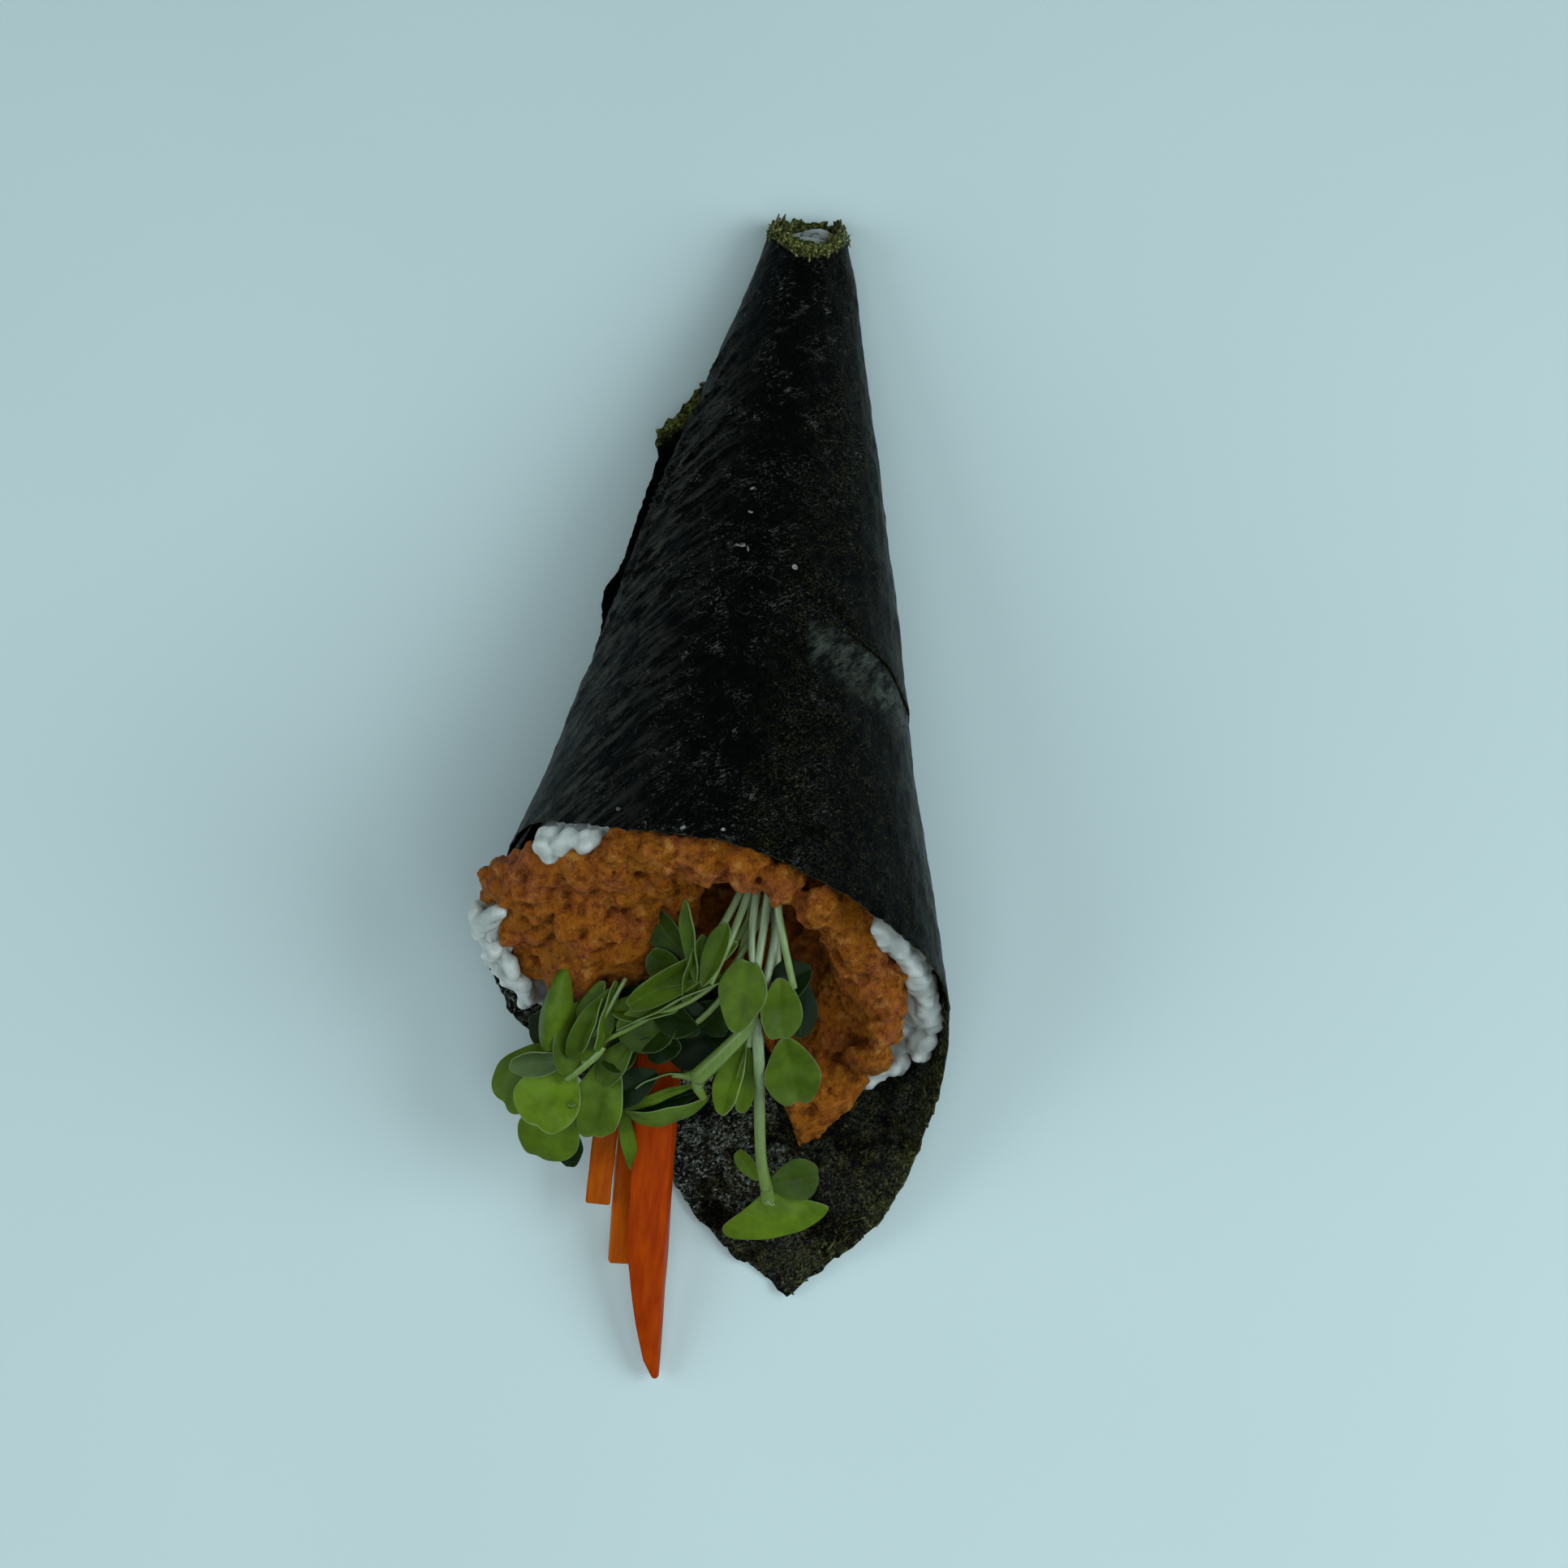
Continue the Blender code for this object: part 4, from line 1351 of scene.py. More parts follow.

# %% [markdown]
# ## Sprouts
# Radish sprouts have a pale juicy stem and two seed leaves. A leaf has a dull green face and a paler back,
# and the light that catches its rim is painted on as a pale line. Leaves deep in a bunch lie in shade, which
# a low tone paints in. Painting each leaf would take an image for each, so every point stores how far it is
# from the midrib and the rim, and a tone.

# %% Leaf finish


def leaf_finish(name, deep, bright, pale, roughness):
    finish, tree, shader = new_finish(
        name, Specular_IOR_Level=0.1, Subsurface_Weight=0.08, Subsurface_Radius=(0.4, 0.8, 0.1),
        Subsurface_Scale=1.0 * MM, Roughness=roughness,
    )
    place = millimetres(tree)
    clouds = ramp(tree, speckle(tree, place, 0.3, 4.0, 0.6), (0.36, 0.38), (0.63, 0.60))
    grain = speckle(tree, place, 2.2, 4.0, 0.6)
    tone = attribute(tree, "tone")
    green = ramp(tree, times(tree, tone, clouds), (0.03, deep), (0.55, bright))
    vein = ramp(tree, attribute(tree, "mid"), (0.0, 0.4), (0.07, 0.0))
    # Painted highlight: a pale line along each leaf's rim
    rim = ramp(tree, attribute(tree, "rim"), (0.92, 0.0), (1.0, 0.2))
    lines = times(tree, mix(tree, 0.5, vein, rim, "LIGHTEN"), tone)
    tree.links.new(mix(tree, lines, green, pale), shader.inputs["Base Color"])
    bump(tree, shader, mix(tree, 0.5, grain, vein), 0.4, 0.14)
    return finish


leaf_face = leaf_finish(
    "leaf_face", deep=(0.005, 0.014, 0.002), bright=(0.135, 0.215, 0.012), pale=(0.20, 0.28, 0.06),
    roughness=0.42,
)
leaf_back = leaf_finish(
    "leaf_back", deep=(0.020, 0.038, 0.012), bright=(0.135, 0.190, 0.066), pale=(0.20, 0.25, 0.11),
    roughness=0.5,
)
# The rim faces of the leaves' walls are paler: a painted highlight along each leaf's edge
leaf_rim_highlight = leaf_finish(
    "leaf_rim_highlight", deep=(0.03, 0.06, 0.02), bright=(0.27, 0.34, 0.15), pale=(0.30, 0.37, 0.18),
    roughness=0.45,
)
print("leaf finishes:", leaf_face.name, leaf_back.name, leaf_rim_highlight.name)

# %% [markdown]
# A stem grows from white at the root to green below the leaves, with faint streaks along it. It is
# smooth and wet, so it is glossier than the leaves.

# %% Stem finish
stem_finish, tree, shader = new_finish(
    "stem", Roughness=0.33, Specular_IOR_Level=0.5, Subsurface_Weight=0.2,
    Subsurface_Radius=(0.8, 1.0, 0.4), Subsurface_Scale=1.0 * MM,
)
streak = speckle(tree, millimetres(tree, (1.6, 0.25, 0.5)), 1.3, 3.0)
pale_to_green = ramp(
    tree, attribute(tree, "along"),
    (0.0, (0.36, 0.40, 0.29)), (0.4, (0.24, 0.31, 0.11)), (1.0, (0.15, 0.225, 0.022)),
)
streaked = mix(tree, ramp(tree, streak, (0.35, 0.45), (0.65, 0.0)), pale_to_green, (0.12, 0.18, 0.05))
tree.links.new(streaked, shader.inputs["Base Color"])
bump(tree, shader, streak, 0.4, 0.1)
print("finish:", stem_finish.name)

# %% [markdown]
# A stem is one circle that is extruded from station to station along a smooth path. A curve object
# with a round bevel would do as well, but here each ring can also carry how far along it lies, so
# that the stem turns from white to green.

# %% A smooth path
STEPS_A_STATION = 6


def smooth_path(points, steps):
    """Points on a Catmull-Rom curve, which passes through all the points given."""
    points = [points[0] * 2 - points[1], *points, points[-1] * 2 - points[-2]]
    path = []
    for a, b, c, d in zip(points, points[1:], points[2:], points[3:]):
        for i in range(steps):
            t = i / steps
            bend = (2 * a - 5 * b + 4 * c - d) * t**2
            path.append(0.5 * (2 * b + (c - a) * t + bend + (3 * b - a - 3 * c + d) * t**3))
    return [*path, points[-2].copy()]


elbow = smooth_path([mm(0, 0, 0), mm(10, 0, 0), mm(10, 10, 0)], STEPS_A_STATION)
print("a path through 3 stations has", len(elbow), "points")

# %% [markdown]
# Each ring is turned by the smallest turn that points it along the path. Turning each one afresh
# from the path's direction could twist the stem between two rings.

# %% One stem
STEM_SIDES = 10


def extrude_ring(bm, edges, move):
    """Extrudes a ring of edges and moves the new ring. Gives back its points and its edges."""
    grown = bmesh.ops.extrude_edge_only(bm, edges=edges)["geom"]
    verts = [part for part in grown if isinstance(part, bmesh.types.BMVert)]
    edges = [part for part in grown if isinstance(part, bmesh.types.BMEdge)]
    edges = [edge for edge in edges if all(vert in verts for vert in edge.verts)]
    bmesh.ops.transform(bm, matrix=move, verts=verts)
    return verts, edges


def add_stem(bm, points, radius, end_radius, whiteness, flat=1.0):
    """A round stem through these points. Whiteness gives its colour at both ends, 0 for white."""
    path = smooth_path([mm(*point) for point in points], STEPS_A_STATION)
    layer = bm.verts.layers.float.get("along") or bm.verts.layers.float.new("along")
    turn = (path[1] - path[0]).to_track_quat("Z", "Y")
    last = None
    for i, centre in enumerate(path):
        share = i / (len(path) - 1)
        ahead = path[min(i + 1, len(path) - 1)] - path[max(i - 1, 0)]
        turn = (turn @ Vector((0, 0, 1))).rotation_difference(ahead) @ turn
        thick = (radius + (end_radius - radius) * smoothstep(share)) * MM
        here = Matrix.Translation(centre) @ turn.to_matrix().to_4x4()
        here = here @ Matrix.Diagonal((thick, thick * flat, thick, 1))
        if last is None:
            verts = bmesh.ops.create_circle(
                bm, cap_ends=True, segments=STEM_SIDES, radius=1.0, matrix=here
            )["verts"]
            edges = list(dict.fromkeys(edge for vert in verts for edge in vert.link_edges))
        else:
            verts, edges = extrude_ring(bm, edges, here @ last.inverted())
        for vert in verts:
            vert[layer] = whiteness[0] + (whiteness[1] - whiteness[0]) * share
        last = here
    bmesh.ops.contextual_create(bm, geom=edges)


def stem_piece(name, stems, node):
    bm = bmesh.new()
    for stem in stems:
        add_stem(bm, *stem)
    bmesh.ops.recalc_face_normals(bm, faces=bm.faces)
    return add_piece(name, bm, (stem_finish,), "sprout", node)


print("a stem has", STEM_SIDES, "sides")

# %% [markdown]
# The stems come out of the mouth as a bunch and spread. Each follows a few stations that are given one by
# one, since a bunch grown by chance would not cross as this one does. One sprout has slid out and hangs down
# over the flap. Its stem gets wider and flatter where its leaves join it.

# %% Stems
# Each stem: stations in millimetres, radius at the start and the end, and whiteness at both
BUNCH_STEMS = (
    (
        ((8.4, -14, 34.0), (8.2, -19.6, 36.4), (9.8, -25.0, 36.0), (11.9, -30.6, 33.6)),
        0.55, 0.5, (0.1, 0.5),
    ),
    (((6.4, -10, 28.6), (6.8, -18, 33.4), (6.8, -26, 34.6), (6.6, -33, 33.0)), 0.6, 0.55, (0.0, 0.2)),
    (((5.6, -10, 28.0), (5.2, -19, 33.2), (5.8, -27, 34.4), (8.6, -34, 31.6)), 0.55, 0.5, (0.0, 0.2)),
    (((5.0, -10, 27.2), (4.2, -18, 32.4), (2.8, -25, 34.6), (0.8, -31.6, 34.0)), 0.55, 0.5, (0.0, 0.5)),
    (((4.4, -10, 26.6), (3.2, -18, 31.6), (0.8, -25, 34.4), (-2.4, -30.6, 33.0)), 0.55, 0.5, (0.0, 0.5)),
    (((7.2, -10, 27.0), (8.2, -19, 32.0), (8.4, -27, 33.6), (7.4, -34, 31.8)), 0.6, 0.6, (0.0, 0.1)),
    (
        ((6.2, -11, 26.4), (6.4, -20, 31.4), (3.8, -28, 33.0), (-1.6, -34, 31.0), (-10.4, -38.2, 27.6)),
        0.45, 0.34, (0.0, 0.9),
    ),
    (
        ((5.2, -11, 25.4), (4.8, -21, 30.6), (1.2, -29, 32.2), (-5.0, -35.4, 29.6), (-12.6, -40.6, 25.8)),
        0.45, 0.34, (0.1, 1.0),
    ),
    (((7.0, -11, 26.0), (7.8, -20, 30.0), (9.4, -28, 31.0), (10.8, -35.8, 28.6)), 0.6, 0.55, (0.0, 0.3)),
    (
        ((4.2, -12, 24.4), (4.6, -22, 28.8), (2.8, -32, 28.6), (-4.0, -39, 24.4), (-14.6, -42.8, 22.2)),
        0.5, 0.4, (0.2, 1.0),
    ),
    (
        ((6.4, -32, 32.0), (6.9, -35.6, 31.4), (3.9, -39.8, 28.2), (0.5, -43.6, 24.6)),
        0.75, 1.2, (0.5, 0.95),
    ),
    (((6.0, -30, 31.4), (6.8, -35.0, 30.8), (7.0, -38.6, 28.6)), 0.55, 0.5, (0.0, 0.3)),
    (
        ((-10.6, -32.0, 29.0), (-12.4, -36.4, 28.2), (-14.0, -40.4, 26.0), (-15.2, -45.0, 23.4)),
        0.3, 0.3, (0.4, 0.7),
    ),
    (
        ((-12.6, -41.2, 25.2), (-13.4, -42.6, 24.8), (-15.2, -44.6, 23.8), (-17.0, -46.2, 22.4)),
        0.6, 0.45, (0.5, 0.8),
    ),
    (((1.0, -43.0, 24.6), (-0.6, -43.4, 23.6), (-2.8, -43.6, 22.8)), 1.0, 0.3, (0.9, 1.0)),
    (((0.9, -43.2, 24.4), (0.8, -44.6, 23.0), (1.8, -45.9, 21.8)), 1.05, 0.6, (0.9, 1.0)),
)
DROOPING_STEMS = (
    (
        ((7.4, -35.0, 31.0), (8.6, -40.4, 27.0), (9.4, -46.0, 18.4), (10.4, -52.0, 11.2), (11.7, -56.4, 7.8)),
        0.8, 0.8, (0.1, 0.85),
    ),
    (
        ((10.9, -53.6, 9.8), (11.7, -56.0, 7.9), (12.2, -57.6, 6.4), (12.7, -59.0, 4.0)),
        0.78, 1.2, (0.85, 1.1), 0.7,
    ),
)
stem_piece("sprout_stems", BUNCH_STEMS, "sprout_bundle")
stem_piece("drooping_stem", DROOPING_STEMS, "drooping_sprout")

# %% [markdown]
# A leaf starts as a square grid. The grid is first rounded into a disc, which keeps it free of
# poles, then stretched from the stalk to the tip, notched, folded along its midrib, cupped and
# curled. A leaf is named by where its stalk and its tip lie and by the way that it faces, so it can
# be put among its neighbours like a flower in a vase.

# %% Place and curl a leaf


def leaf_place(base, tip, facing):
    """A frame with its origin at the stalk, y towards the tip and z the way that the leaf faces."""
    along = (tip - base).normalized()
    out = (facing - along * facing.dot(along)).normalized()
    place = Matrix((along.cross(out), along, out)).transposed().to_4x4()
    place.translation = base
    return place


def curled(reach, lift, length, curl):
    """Bends a point of the flat leaf round a circle that passes through the stalk and the tip."""
    bow = length / curl
    angle = reach / bow - 0.5 * curl
    along = (bow + lift) * math.sin(angle) + bow * math.sin(0.5 * curl)
    return along, (bow + lift) * math.cos(angle) - bow * math.cos(0.5 * curl)


middle = curled(5 * MM, 0, 10 * MM, math.radians(40))
print("a curl of 40 degrees lifts the middle of a 10 mm leaf by", round(middle[1] / MM, 2), "mm")

# %% [markdown]
# No two leaves are alike, so the outline and the surface get a little noise of their own. The
# midrib is a shallow groove, and every point stores how far it lies from it and from the rim.

# %% One leaf
LEAF_STEPS = 13
MIDRIB_DEPTH, MIDRIB_WIDTH = 0.18 * MM, 0.16


def add_leaf(bm, base, tip, width, facing, fold=0, cup=0.0, curl=0, tone=0.6, fan=0.0):
    """Sizes in millimetres. Fold and curl are in degrees: fold lifts both sides, curl bows it up.

    Cup lifts the rim all round, and fan moves the widest place from the middle towards the tip.
    """
    base, tip = mm(*base), mm(*tip)
    fold, curl = math.radians(fold), math.radians(curl)
    length = (tip - base).length * (0.5 * curl / math.sin(0.5 * curl) if curl else 1)
    place = leaf_place(base, tip, Vector(facing))
    leaf = bmesh.new()
    layers = [leaf.verts.layers.float.new(name) for name in ("tone", "mid", "rim")]
    bmesh.ops.create_grid(leaf, x_segments=LEAF_STEPS, y_segments=LEAF_STEPS, size=1.0)
    for vert in leaf.verts:
        s, t = vert.co.x, vert.co.y
        x = s * math.sqrt(1 - t * t / 2)
        y = t * math.sqrt(1 - s * s / 2)
        for layer, value in zip(layers, (tone, abs(x), math.hypot(x, y))):
            vert[layer] = value
        share = ((y + 1) / 2) ** (1 - 0.4 * fan)
        outline = 1 + 0.06 * noise.noise(Vector((1.7 * x, 1.7 * y, 50 * width + 900 * base.x)))
        half = x * width * MM / 2 * outline * (0.66 + 0.34 * smoothstep(1.5 * share))
        half *= 1 - 0.45 * fan * (1 - share)
        notch = 0.05 * smoothstep((width - 5) / 3) * bell(x, 0, 0.25) * smoothstep((share - 0.5) / 0.5)
        reach = length * outline * (share - notch)
        lift = (math.hypot(half, 0.3 * MM) - 0.3 * MM) * math.sin(fold)
        half *= math.cos(fold)
        lift += cup * MM * (x * x + y * y) - MIDRIB_DEPTH * bell(x, 0, MIDRIB_WIDTH)
        lift += wobble(base + Vector((half, reach, tone * 0.01)), 0.55 * MM, 3.2 * MM)
        if curl:
            reach, lift = curled(reach, lift, length, curl)
        vert.co = place @ Vector((half, reach, lift))
    pour(leaf, bm)


print("a leaf has", LEAF_STEPS**2, "faces before it gets its thickness")

# %% [markdown]
# The leaves that show are laid one by one, from the left of the bunch to the right. They could be
# scattered, but a bunch is seen from close by, and its folds and gaps are what make it look real.

# %% Leaves
LEAF_THICKNESS = 0.26 * MM


def leaf_piece(name, leaves, node):
    bm = bmesh.new()
    for leaf in leaves:
        add_leaf(bm, *leaf)
    piece = add_piece(name, bm, (leaf_face, leaf_back, leaf_rim_highlight), "sprout", node)
    give_wall(piece, LEAF_THICKNESS, 0)
    smooth = piece.modifiers.new("soften", "SUBSURF")
    smooth.levels = smooth.render_levels = 1
    return piece


# Each leaf: stalk, tip, width, the way it faces, fold, cup, curl and tone; a tone near 0 paints shade
BUNCH_LEAVES = (
    ((-19.4, -31.4, 29.4), (-20.4, -44.0, 26.0), 6.4, (-0.25, -0.1, 1), -42, -1.6, 28, 0.72),
    ((-16.6, -42.6, 23.4), (-24.8, -44.6, 21.8), 4.8, (-0.1, 0.7, -1), -30, -0.8, -10, 0.62),
    ((-17.4, -43.4, 21.2), (-20.4, -53.6, 21.4), 9.8, (-0.1, -0.15, 1), 3, 0.2, 6, 1.04),
    ((-20.4, -41.6, 19.0), (-26.0, -50.8, 16.6), 8.6, (-0.5, -0.1, 1), 0, -0.4, 18, 0.66),
    ((-16.8, -48.4, 18.0), (-20.2, -57.0, 14.4), 9.2, (-0.1, -0.5, 1), 0, -0.4, 20, 0.66),
    ((-16.4, -51.6, 15.0), (-15.4, -57.2, 11.8), 4.0, (0.3, -0.3, 1), 0, 0.2, 10, 0.06),
    ((-11.2, -41.6, 22.6), (-12.4, -53.4, 18.4), 7.4, (-0.3, -0.25, 1), 8, 0.2, 22, 0.78),
    ((-9.4, -47.6, 16.4), (-6.6, -56.4, 10.6), 2.5, (0.7, -0.2, 1), -22, 0.0, 0, 0.66),
    ((-13.4, -32.6, 28.0), (-15.6, -42.4, 24.6), 5.2, (-0.8, 0.1, 1), 20, 0.2, 16, 0.58),
    ((-11.8, -32.4, 28.8), (-13.4, -42.0, 26.0), 3.8, (1.0, 0.2, 0.7), 16, 0.0, 12, 0.64),
    ((-16.4, -35.6, 26.0), (-17.0, -45.6, 23.4), 6.2, (0.4, 0.2, 1), 12, 0.0, 14, 0.50),
    ((-2.4, -38.0, 25.2), (-10.4, -39.8, 26.2), 5.0, (0.0, -0.3, 1), -8, 0.0, 8, 0.28),
    ((4.0, -35.0, 20.6), (-5.0, -40.4, 19.0), 9.0, (0.0, 0.0, 1), 0, 0.0, 8, 0.0),
    ((-12.0, -33.4, 28.6), (-16.2, -43.6, 24.6), 5.6, (0.35, 0.1, 1), 8, 0.0, 16, 0.44),
    ((-8.6, -39.6, 25.6), (-12.6, -46.4, 22.2), 4.6, (-0.3, 0.2, 1), 10, 0.0, 10, 0.50),
    ((4.4, -29.6, 34.0), (-11.0, -38.8, 28.2), 4.6, (0.1, 0.8, 1), 40, 0.0, 10, 0.60),
    ((3.8, -25.6, 34.4), (-10.0, -35.8, 29.8), 5.4, (-0.2, -0.5, 1), 36, 0.0, 14, 0.52),
    ((1.6, -28.4, 33.4), (-7.8, -32.0, 31.4), 4.4, (-0.5, 0.5, 1), -20, 0.0, 14, 0.38),
    ((-3.0, -35.4, 29.4), (-12.0, -36.6, 27.6), 4.6, (0.2, 0.5, 1), 18, 0.2, 14, 0.48),
    ((-1.0, -31.8, 34.0), (-3.8, -21.4, 36.8), 3.4, (-0.8, 0.1, 1), 36, 0.0, -6, 0.50),
    ((0.0, -32.2, 34.4), (2.2, -23.6, 36.8), 4.2, (-0.5, 0.0, 1), 24, 0.2, -6, 0.50),
    ((-2.4, -34.4, 32.0), (-0.8, -25.2, 35.6), 4.0, (0.8, 0.1, 1), 24, 0.0, -6, 0.42),
    ((5.0, -37.6, 33.0), (5.6, -27.8, 34.8), 6.8, (-0.15, -0.2, 1), 5, 0.3, -8, 0.66),
    ((-2.0, -29.0, 30.6), (-8.6, -22.6, 29.4), 5.0, (-0.4, -0.6, 1), 10, 0.2, 8, 0.22),
    ((-1.0, -33.0, 29.0), (-8.0, -28.0, 29.0), 5.4, (-0.2, -0.5, 1), 14, 0.2, 8, 0.34),
    ((9.6, -29.4, 33.6), (11.2, -37.4, 30.8), 6.2, (0.3, -0.1, 1), 8, 0.6, 12, 0.60),
    ((13.8, -27.4, 31.0), (9.2, -30.6, 31.6), 5.4, (0.3, 0.2, 1), 0, 0.2, 10, 0.05),
    ((13.0, -29.0, 30.2), (13.4, -36.4, 28.2), 4.6, (0.5, -0.1, 1), 10, 0.2, 10, 0.06),
    ((11.4, -36.6, 27.6), (14.4, -45.0, 22.8), 8.0, (0.15, -0.2, 1), 4, 0.5, 12, 0.58),
    ((6.4, -38.0, 26.6), (4.6, -47.8, 22.0), 4.8, (-0.7, -0.2, 1), 14, 0.2, 18, 0.84),
    ((6.6, -38.4, 26.4), (6.8, -47.2, 21.6), 3.4, (0.8, -0.2, 1), 14, 0.2, 18, 0.62),
)
leaf_piece("sprout_leaves", BUNCH_LEAVES, "sprout_bundle")

# %% [markdown]
# Behind the leaves that show, a bunch holds more leaves, which lie in shade. Placing those one by one would
# be wasted work, so they are scattered inside the solid bundle and get a deep tone, which paints that shade.

# %% Leaves further in
SHADED_LEAVES = 22
LEAF_GAP = 2.4 * MM


def bunch_middle(centre, normal):
    return -41 * MM < centre.y < -28 * MM and centre.x < 3 * MM


def shaded_leaf(point, normal, rng):
    base = (point - Vector((0, 0, 1)) * rng.uniform(6.5, 9.0) * MM) / MM
    heading = Vector((rng.uniform(-1.2, 0.4), rng.uniform(-0.8, 0.6), rng.uniform(-0.4, 0.1)))
    tip = base + heading.normalized() * rng.uniform(6.0, 9.0)
    facing = normal + Vector((rng.gauss(0, 0.4), rng.gauss(0, 0.4), 0.8))
    return base, tip, rng.uniform(4.5, 7.0), facing, 10, 0.1, 12, rng.uniform(0.04, 0.3)


rng = random.Random(3)
solid = solid_copy("sprout_bundle")
inside = [row for row in scatter(solid, bunch_middle, LEAF_GAP, 400, rng) if row[1].z > 0.4]
solid.free()
shaded_leaves = [shaded_leaf(point, normal, rng) for point, normal in inside[:SHADED_LEAVES]]
leaf_piece("shaded_leaves", shaded_leaves, "sprout_bundle")

# %% [markdown]
# One leaf at the middle of the bunch is rolled up almost into a tube. It is put together from its two curled
# halves, a narrow strip between them and a leaf of tone 0 in the hollow, which paints the shade there. The
# drooping sprout has one large heart shaped leaf, which faces up, and two small ones behind it. All are made
# like the rest, with more curl and more fan.

# %% Curled and drooping leaves
CURLED_LEAVES = (
    ((1.6, -42.6, 23.4), (-8.4, -46.6, 20.6), 2.8, (0.25, 1.0, 0.30), 0, 0.0, 44, 0.62),
    ((0.6, -44.2, 22.8), (-8.8, -48.8, 19.4), 1.7, (0.3, -0.4, 1.0), 0, 0.0, 0, 0.66),
    # Painted shade: this leaf of tone 0 makes the hollow dark
    ((1.4, -45.2, 20.8), (-8.4, -49.2, 18.0), 3.4, (0.1, 0.5, 1.0), 0, 0.0, 10, 0.0),
    ((2.6, -45.8, 21.4), (-8.8, -49.5, 18.4), 4.4, (0.0, -0.9, 0.42), 0, 0.0, 62, 0.70),
)
# These rows end with one more value, the fan
DROOPING_LEAVES = (
    ((12.2, -56.0, 7.6), (14.6, -63.0, 4.0), 18.4, (0.1, -0.25, 1), -12, -0.5, 14, 0.84, 1.0),
    ((12.0, -55.4, 7.6), (19.0, -53.4, 6.2), 6.2, (-0.1, -0.2, 1), 2, 0.1, 10, 0.36, 0.0),
    ((10.6, -55.2, 8.8), (7.0, -51.6, 8.8), 3.0, (-0.4, -0.4, 1), 10, 0.1, 0, 0.62, 0.0),
)
leaf_piece("sprout_curled_leaves", CURLED_LEAVES, "sprout_bundle")
leaf_piece("drooping_leaves", DROOPING_LEAVES, "drooping_sprout")

# %% [markdown]
# ## Small things
# A few specks of dried rice stick to the seaweed, and some grains show in the open tip. They are
# tiny, but they give the scale. The specks are dropped straight down on the skin with a ray.

# %% Stray rice
# Where each grain in the tip lies, in millimetres
TIP_GRAINS = ((-2.6, 81.8, 3.4), (-0.6, 82.2, 3.6), (1.2, 82.0, 3.2), (-0.8, 80.6, 4.6))
# Each speck: where it lies seen from above, and its radius, in millimetres
SPECKS = (
    (-3.5, 38.0, 0.36), (-3.3, 34.3, 0.30), (-3.6, 29.1, 0.45), (-2.8, 28.6, 0.34), (-4.5, 28.9, 0.34),
    (4.0, 26.8, 0.36), (-14.1, -11.2, 0.34), (-5.2, -13.0, 0.30), (0.1, -12.6, 0.30),
)

dried_rice, tree, shader = new_finish("dried_rice", Roughness=0.6, Specular_IOR_Level=0.2)
faded = speckle(tree, millimetres(tree), 1.5, 3.0)
dull = ramp(tree, faded, (0.4, (0.05, 0.05, 0.045)), (0.6, (0.30, 0.29, 0.27)))
tree.links.new(dull, shader.inputs["Base Color"])

rng = random.Random(21)
specks = bmesh.new()
for x, y, radius in SPECKS:
    point = skin.ray_cast(mm(x, y, 100), Vector((0, 0, -1)))[0]
    speck = bmesh.new()
    bmesh.ops.create_icosphere(speck, subdivisions=2, radius=radius * MM)
    for vert in speck.verts:
        vert.co *= 1 + 0.7 * noise.noise(vert.co / MM * 2 + Vector((x, y, 0)))
    squash = Matrix.Diagonal((rng.uniform(0.9, 1.6), rng.uniform(0.8, 1.3), 0.4, 1))
    there = Matrix.Translation(point) @ random_turn(rng) @ squash
    bmesh.ops.transform(speck, matrix=there, verts=speck.verts)
    pour(speck, specks)
add_piece("rice_specks", specks, (dried_rice,), "rice")

rng = random.Random(4)
tip_rice = bmesh.new()
for place in TIP_GRAINS:
    add_grain(tip_rice, mm(*place), Vector((0, 0.3, 1)), rng)
add_piece("tip_rice", tip_rice, (rice_finish,), "rice")

# %% [markdown]
# Shreds of seaweed stand off the torn edges, along the flap's right side and round the tip. Each is
# a tapered flake, made from a cube, since a flake without thickness would have no edge to catch the
# light. The same function that rolled the sheet says where each one lies.

# %% Shreds of seaweed
# Each stretch of edge: number of shreds, first and last turn, and how far in they lie
FLAP_SHREDS = (170, 0.045, 0.24, 0.2, 4.5)
TIP_SHREDS = ((70, 0.2, 0.9, 0.2, 3.0), (60, 0.72, 1.28, 0.3, 3.0))
FLAKE_THICKNESS = 0.12 * MM


def shred_places(rng):
    """[(turn, reach)] on the flat sheet, close to the flap's edges and to the lip of the tip."""
    places = []
    count, first, last, least, most = FLAP_SHREDS
    for _ in range(count):
        turn = rng.uniform(first, last)
        square = EDGE_SQUARE if turn > CORNER_TURN else -EDGE_SQUARE
        edge = EDGE_FROM_APEX / math.cos(flat_angle(turn) - square)
        places.append((turn, edge - rng.uniform(least, most) * MM))
    for count, first, last, least, most in TIP_SHREDS:
        for _ in range(count):
            turn = rng.uniform(first, last)
            places.append((turn, lip_reach(turn) + rng.uniform(least, most) * MM))
    return places


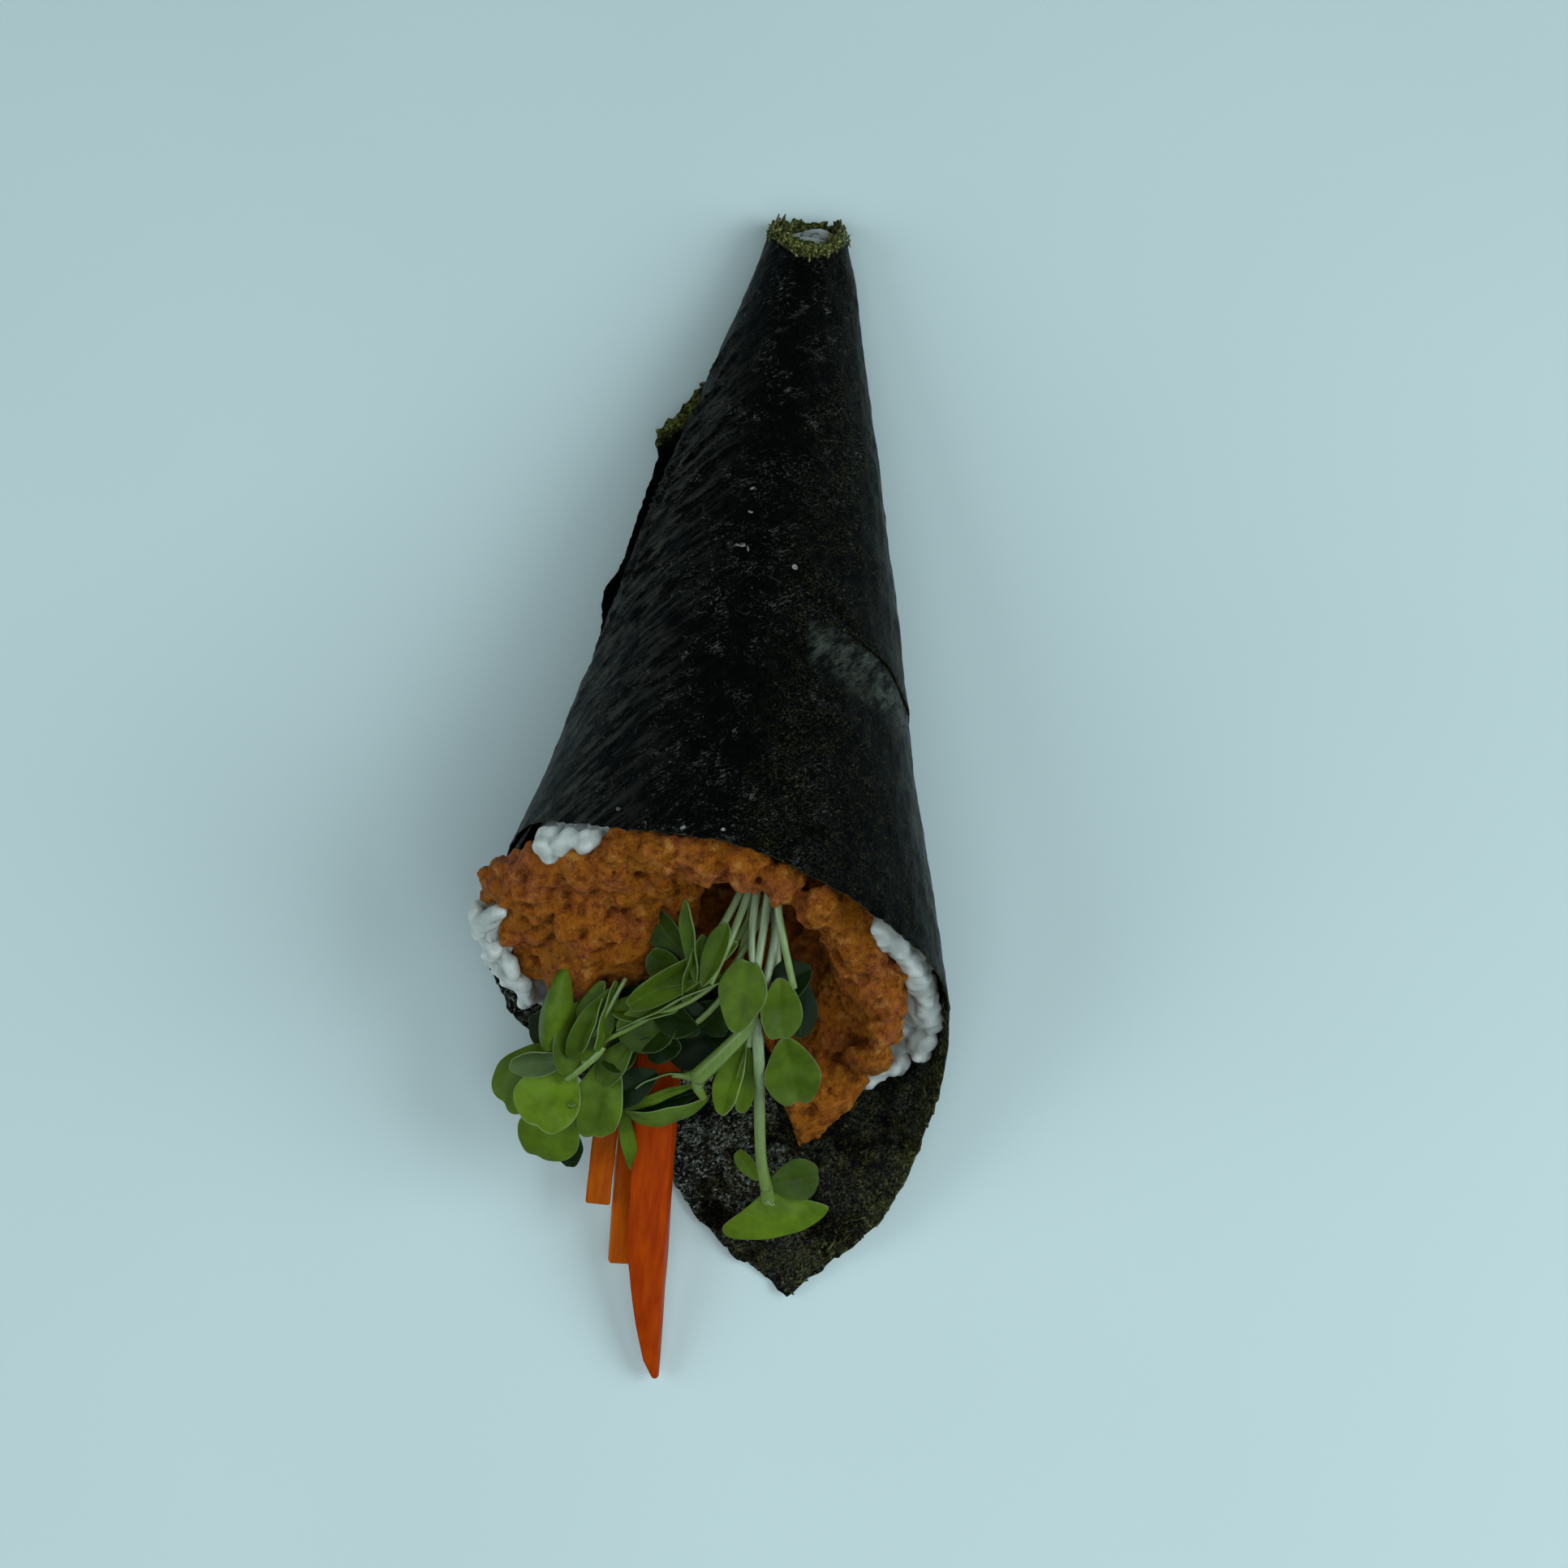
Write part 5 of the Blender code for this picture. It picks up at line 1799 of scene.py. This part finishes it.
def add_shred(bm, turn, reach, rng):
    on_flap = reach > 100 * MM
    out = outward_at(turn) * (-1 if on_flap else 1)  # the flap shows its inner side
    shred = bmesh.new()
    layer = shred.verts.layers.float.new("fray")
    bmesh.ops.create_cube(shred, size=1.0)
    for vert in shred.verts:
        vert.co.y *= 1 - 0.6 * (vert.co.x > 0)
        vert[layer] = 0.62 if on_flap else 1.5
    sizes = (rng.uniform(0.6, 2.0) * MM, rng.uniform(0.25, 0.6) * MM, FLAKE_THICKNESS, 1)
    lean = Matrix.Rotation(rng.gauss(0, 0.35), 4, "Y") @ Matrix.Rotation(rng.gauss(0, 0.35), 4, "X")
    raised = Matrix.Translation(rolled(turn, reach) + out * 0.3 * MM)
    there = raised @ face_out(out) @ random_spin(rng) @ lean @ Matrix.Diagonal(sizes)
    bmesh.ops.transform(shred, matrix=there, verts=shred.verts)
    pour(shred, bm)


rng = random.Random(8)
shreds = bmesh.new()
for turn, reach in shred_places(rng):
    add_shred(shreds, turn, reach, rng)
add_piece("nori_shreds", shreds, (seaweed_cut,), "seaweed")

# %% [markdown]
# Washed sprouts keep a drop or two of water. A drop is a flattened sphere that sits half in the
# leaf, with the real refraction of water, 1.33, and hardly any roughness.

# %% Water drops
water, tree, shader = new_finish(
    "water", Base_Color=(1, 1, 1, 1), Roughness=0.03, IOR=1.33, Transmission_Weight=1.0
)
bump(tree, shader, speckle(tree, millimetres(tree), 0.8, 1.0), 0.1, 0.05)
# Each drop: its place and its radius, in millimetres
DROPS = (((-15.7, -49.4, 22.3), 0.55), ((12.2, -58.0, 7.4), 0.2), ((12.9, -58.2, 7.3), 0.22))

drops = bmesh.new()
for centre, radius in DROPS:
    made = bmesh.ops.create_uvsphere(drops, u_segments=16, v_segments=10, radius=radius * MM)["verts"]
    flat = Matrix.Translation(mm(*centre)) @ Matrix.Diagonal((1.2, 1.0, 0.6, 1))
    bmesh.ops.transform(drops, matrix=flat, verts=made)
add_piece("water_drops", drops, (water,), "sprout")

# %% [markdown]
# ## Floor, light and camera
# The food lies on a plain pale floor, which belongs to the stage and not to the food. A large grid
# just below the food is enough. It is a little cooler than white, so that the black seaweed picks
# it up as a cool sheen.

# %% Floor
FLOOR_HALF_WIDTH, FLOOR_DEPTH = 2.0, 0.05 * MM

floor_finish, tree, shader = new_finish("floor", Roughness=0.45)
clouds = speckle(tree, millimetres(tree), 0.01, 2.0)
tone = ramp(tree, clouds, (0.3, (0.65, 0.75, 0.77)), (0.7, (0.68, 0.78, 0.80)))
tree.links.new(tone, shader.inputs["Base Color"])
bm = bmesh.new()
below = Matrix.Translation((0, 0, -FLOOR_DEPTH))
bmesh.ops.create_grid(bm, x_segments=2, y_segments=2, size=FLOOR_HALF_WIDTH, matrix=below)
mesh = bpy.data.meshes.new("floor")
bm.to_mesh(mesh)
bm.free()
mesh.materials.append(floor_finish)
floor = bpy.data.objects.new("floor", mesh)
bpy.context.scene.collection.objects.link(floor)
print("the floor is", 2 * FLOOR_HALF_WIDTH, "m wide")

# %% [markdown]
# Soft light comes from three windows: one on each side and a third in front, with little light from
# straight above. That keeps the top of the seaweed nearly black, while its sides catch the light.
# An area lamp is a window's shape, and its size is what makes the shadows soft.

# %% Light
DAYLIGHT = (0.80, 0.97, 1.0)
ROOM_BRIGHTNESS = 0.045
# Each window: place, size in metres, power in watts
WINDOWS = {
    "left_window": ((-0.78, -0.20, 0.58), 0.7, 3.4),
    "right_window": ((0.78, 0.06, 0.64), 0.7, 6.1),
    "front_window": ((0.10, -0.40, 0.90), 0.8, 3.6),
}

world = bpy.data.worlds.new("room")
world.use_nodes = True
background = world.node_tree.nodes["Background"]
background.inputs["Color"].default_value = (*DAYLIGHT, 1)
background.inputs["Strength"].default_value = ROOM_BRIGHTNESS
bpy.context.scene.world = world
for name, (place, size, power) in WINDOWS.items():
    light = bpy.data.lights.new(name, "AREA")
    light.shape = "SQUARE"
    light.size = size
    light.energy = power
    light.color = DAYLIGHT
    lamp = bpy.data.objects.new(name, light)
    lamp.location = place
    lamp.rotation_euler = Vector(place).to_track_quat("Z", "Y").to_euler()
    bpy.context.scene.collection.objects.link(lamp)
    print(name, power, "W")

# %% [markdown]
# The camera looks almost straight down, like a person who stands at the table. It is placed by the
# point it looks at, two angles and a distance, which are easier to tune than a place and a turn.

# %% Camera
TARGET = Vector((0.0060, 0.00165, 0.0))
AZIMUTH, ELEVATION, DISTANCE = math.radians(8.1), math.radians(81.0), 0.5
LENS, SENSOR = 79.9, 36

back = Vector((
    math.sin(AZIMUTH) * math.cos(ELEVATION),
    -math.cos(AZIMUTH) * math.cos(ELEVATION),
    math.sin(ELEVATION),
))
lens = bpy.data.cameras.new("camera")
lens.lens = LENS
lens.sensor_width = SENSOR
camera = bpy.data.objects.new("camera", lens)
camera.location = TARGET + back * DISTANCE
camera.rotation_euler = back.to_track_quat("Z", "Y").to_euler()
bpy.context.scene.collection.objects.link(camera)
bpy.context.scene.camera = camera
bpy.context.scene.view_settings.view_transform = "Standard"
print("camera at", [round(value, 3) for value in camera.location])

# %% [markdown]
# ## Size
# The box of the solid model is printed, in metres.

# %% Print the solid model's box
print("solid model:", cad_box)
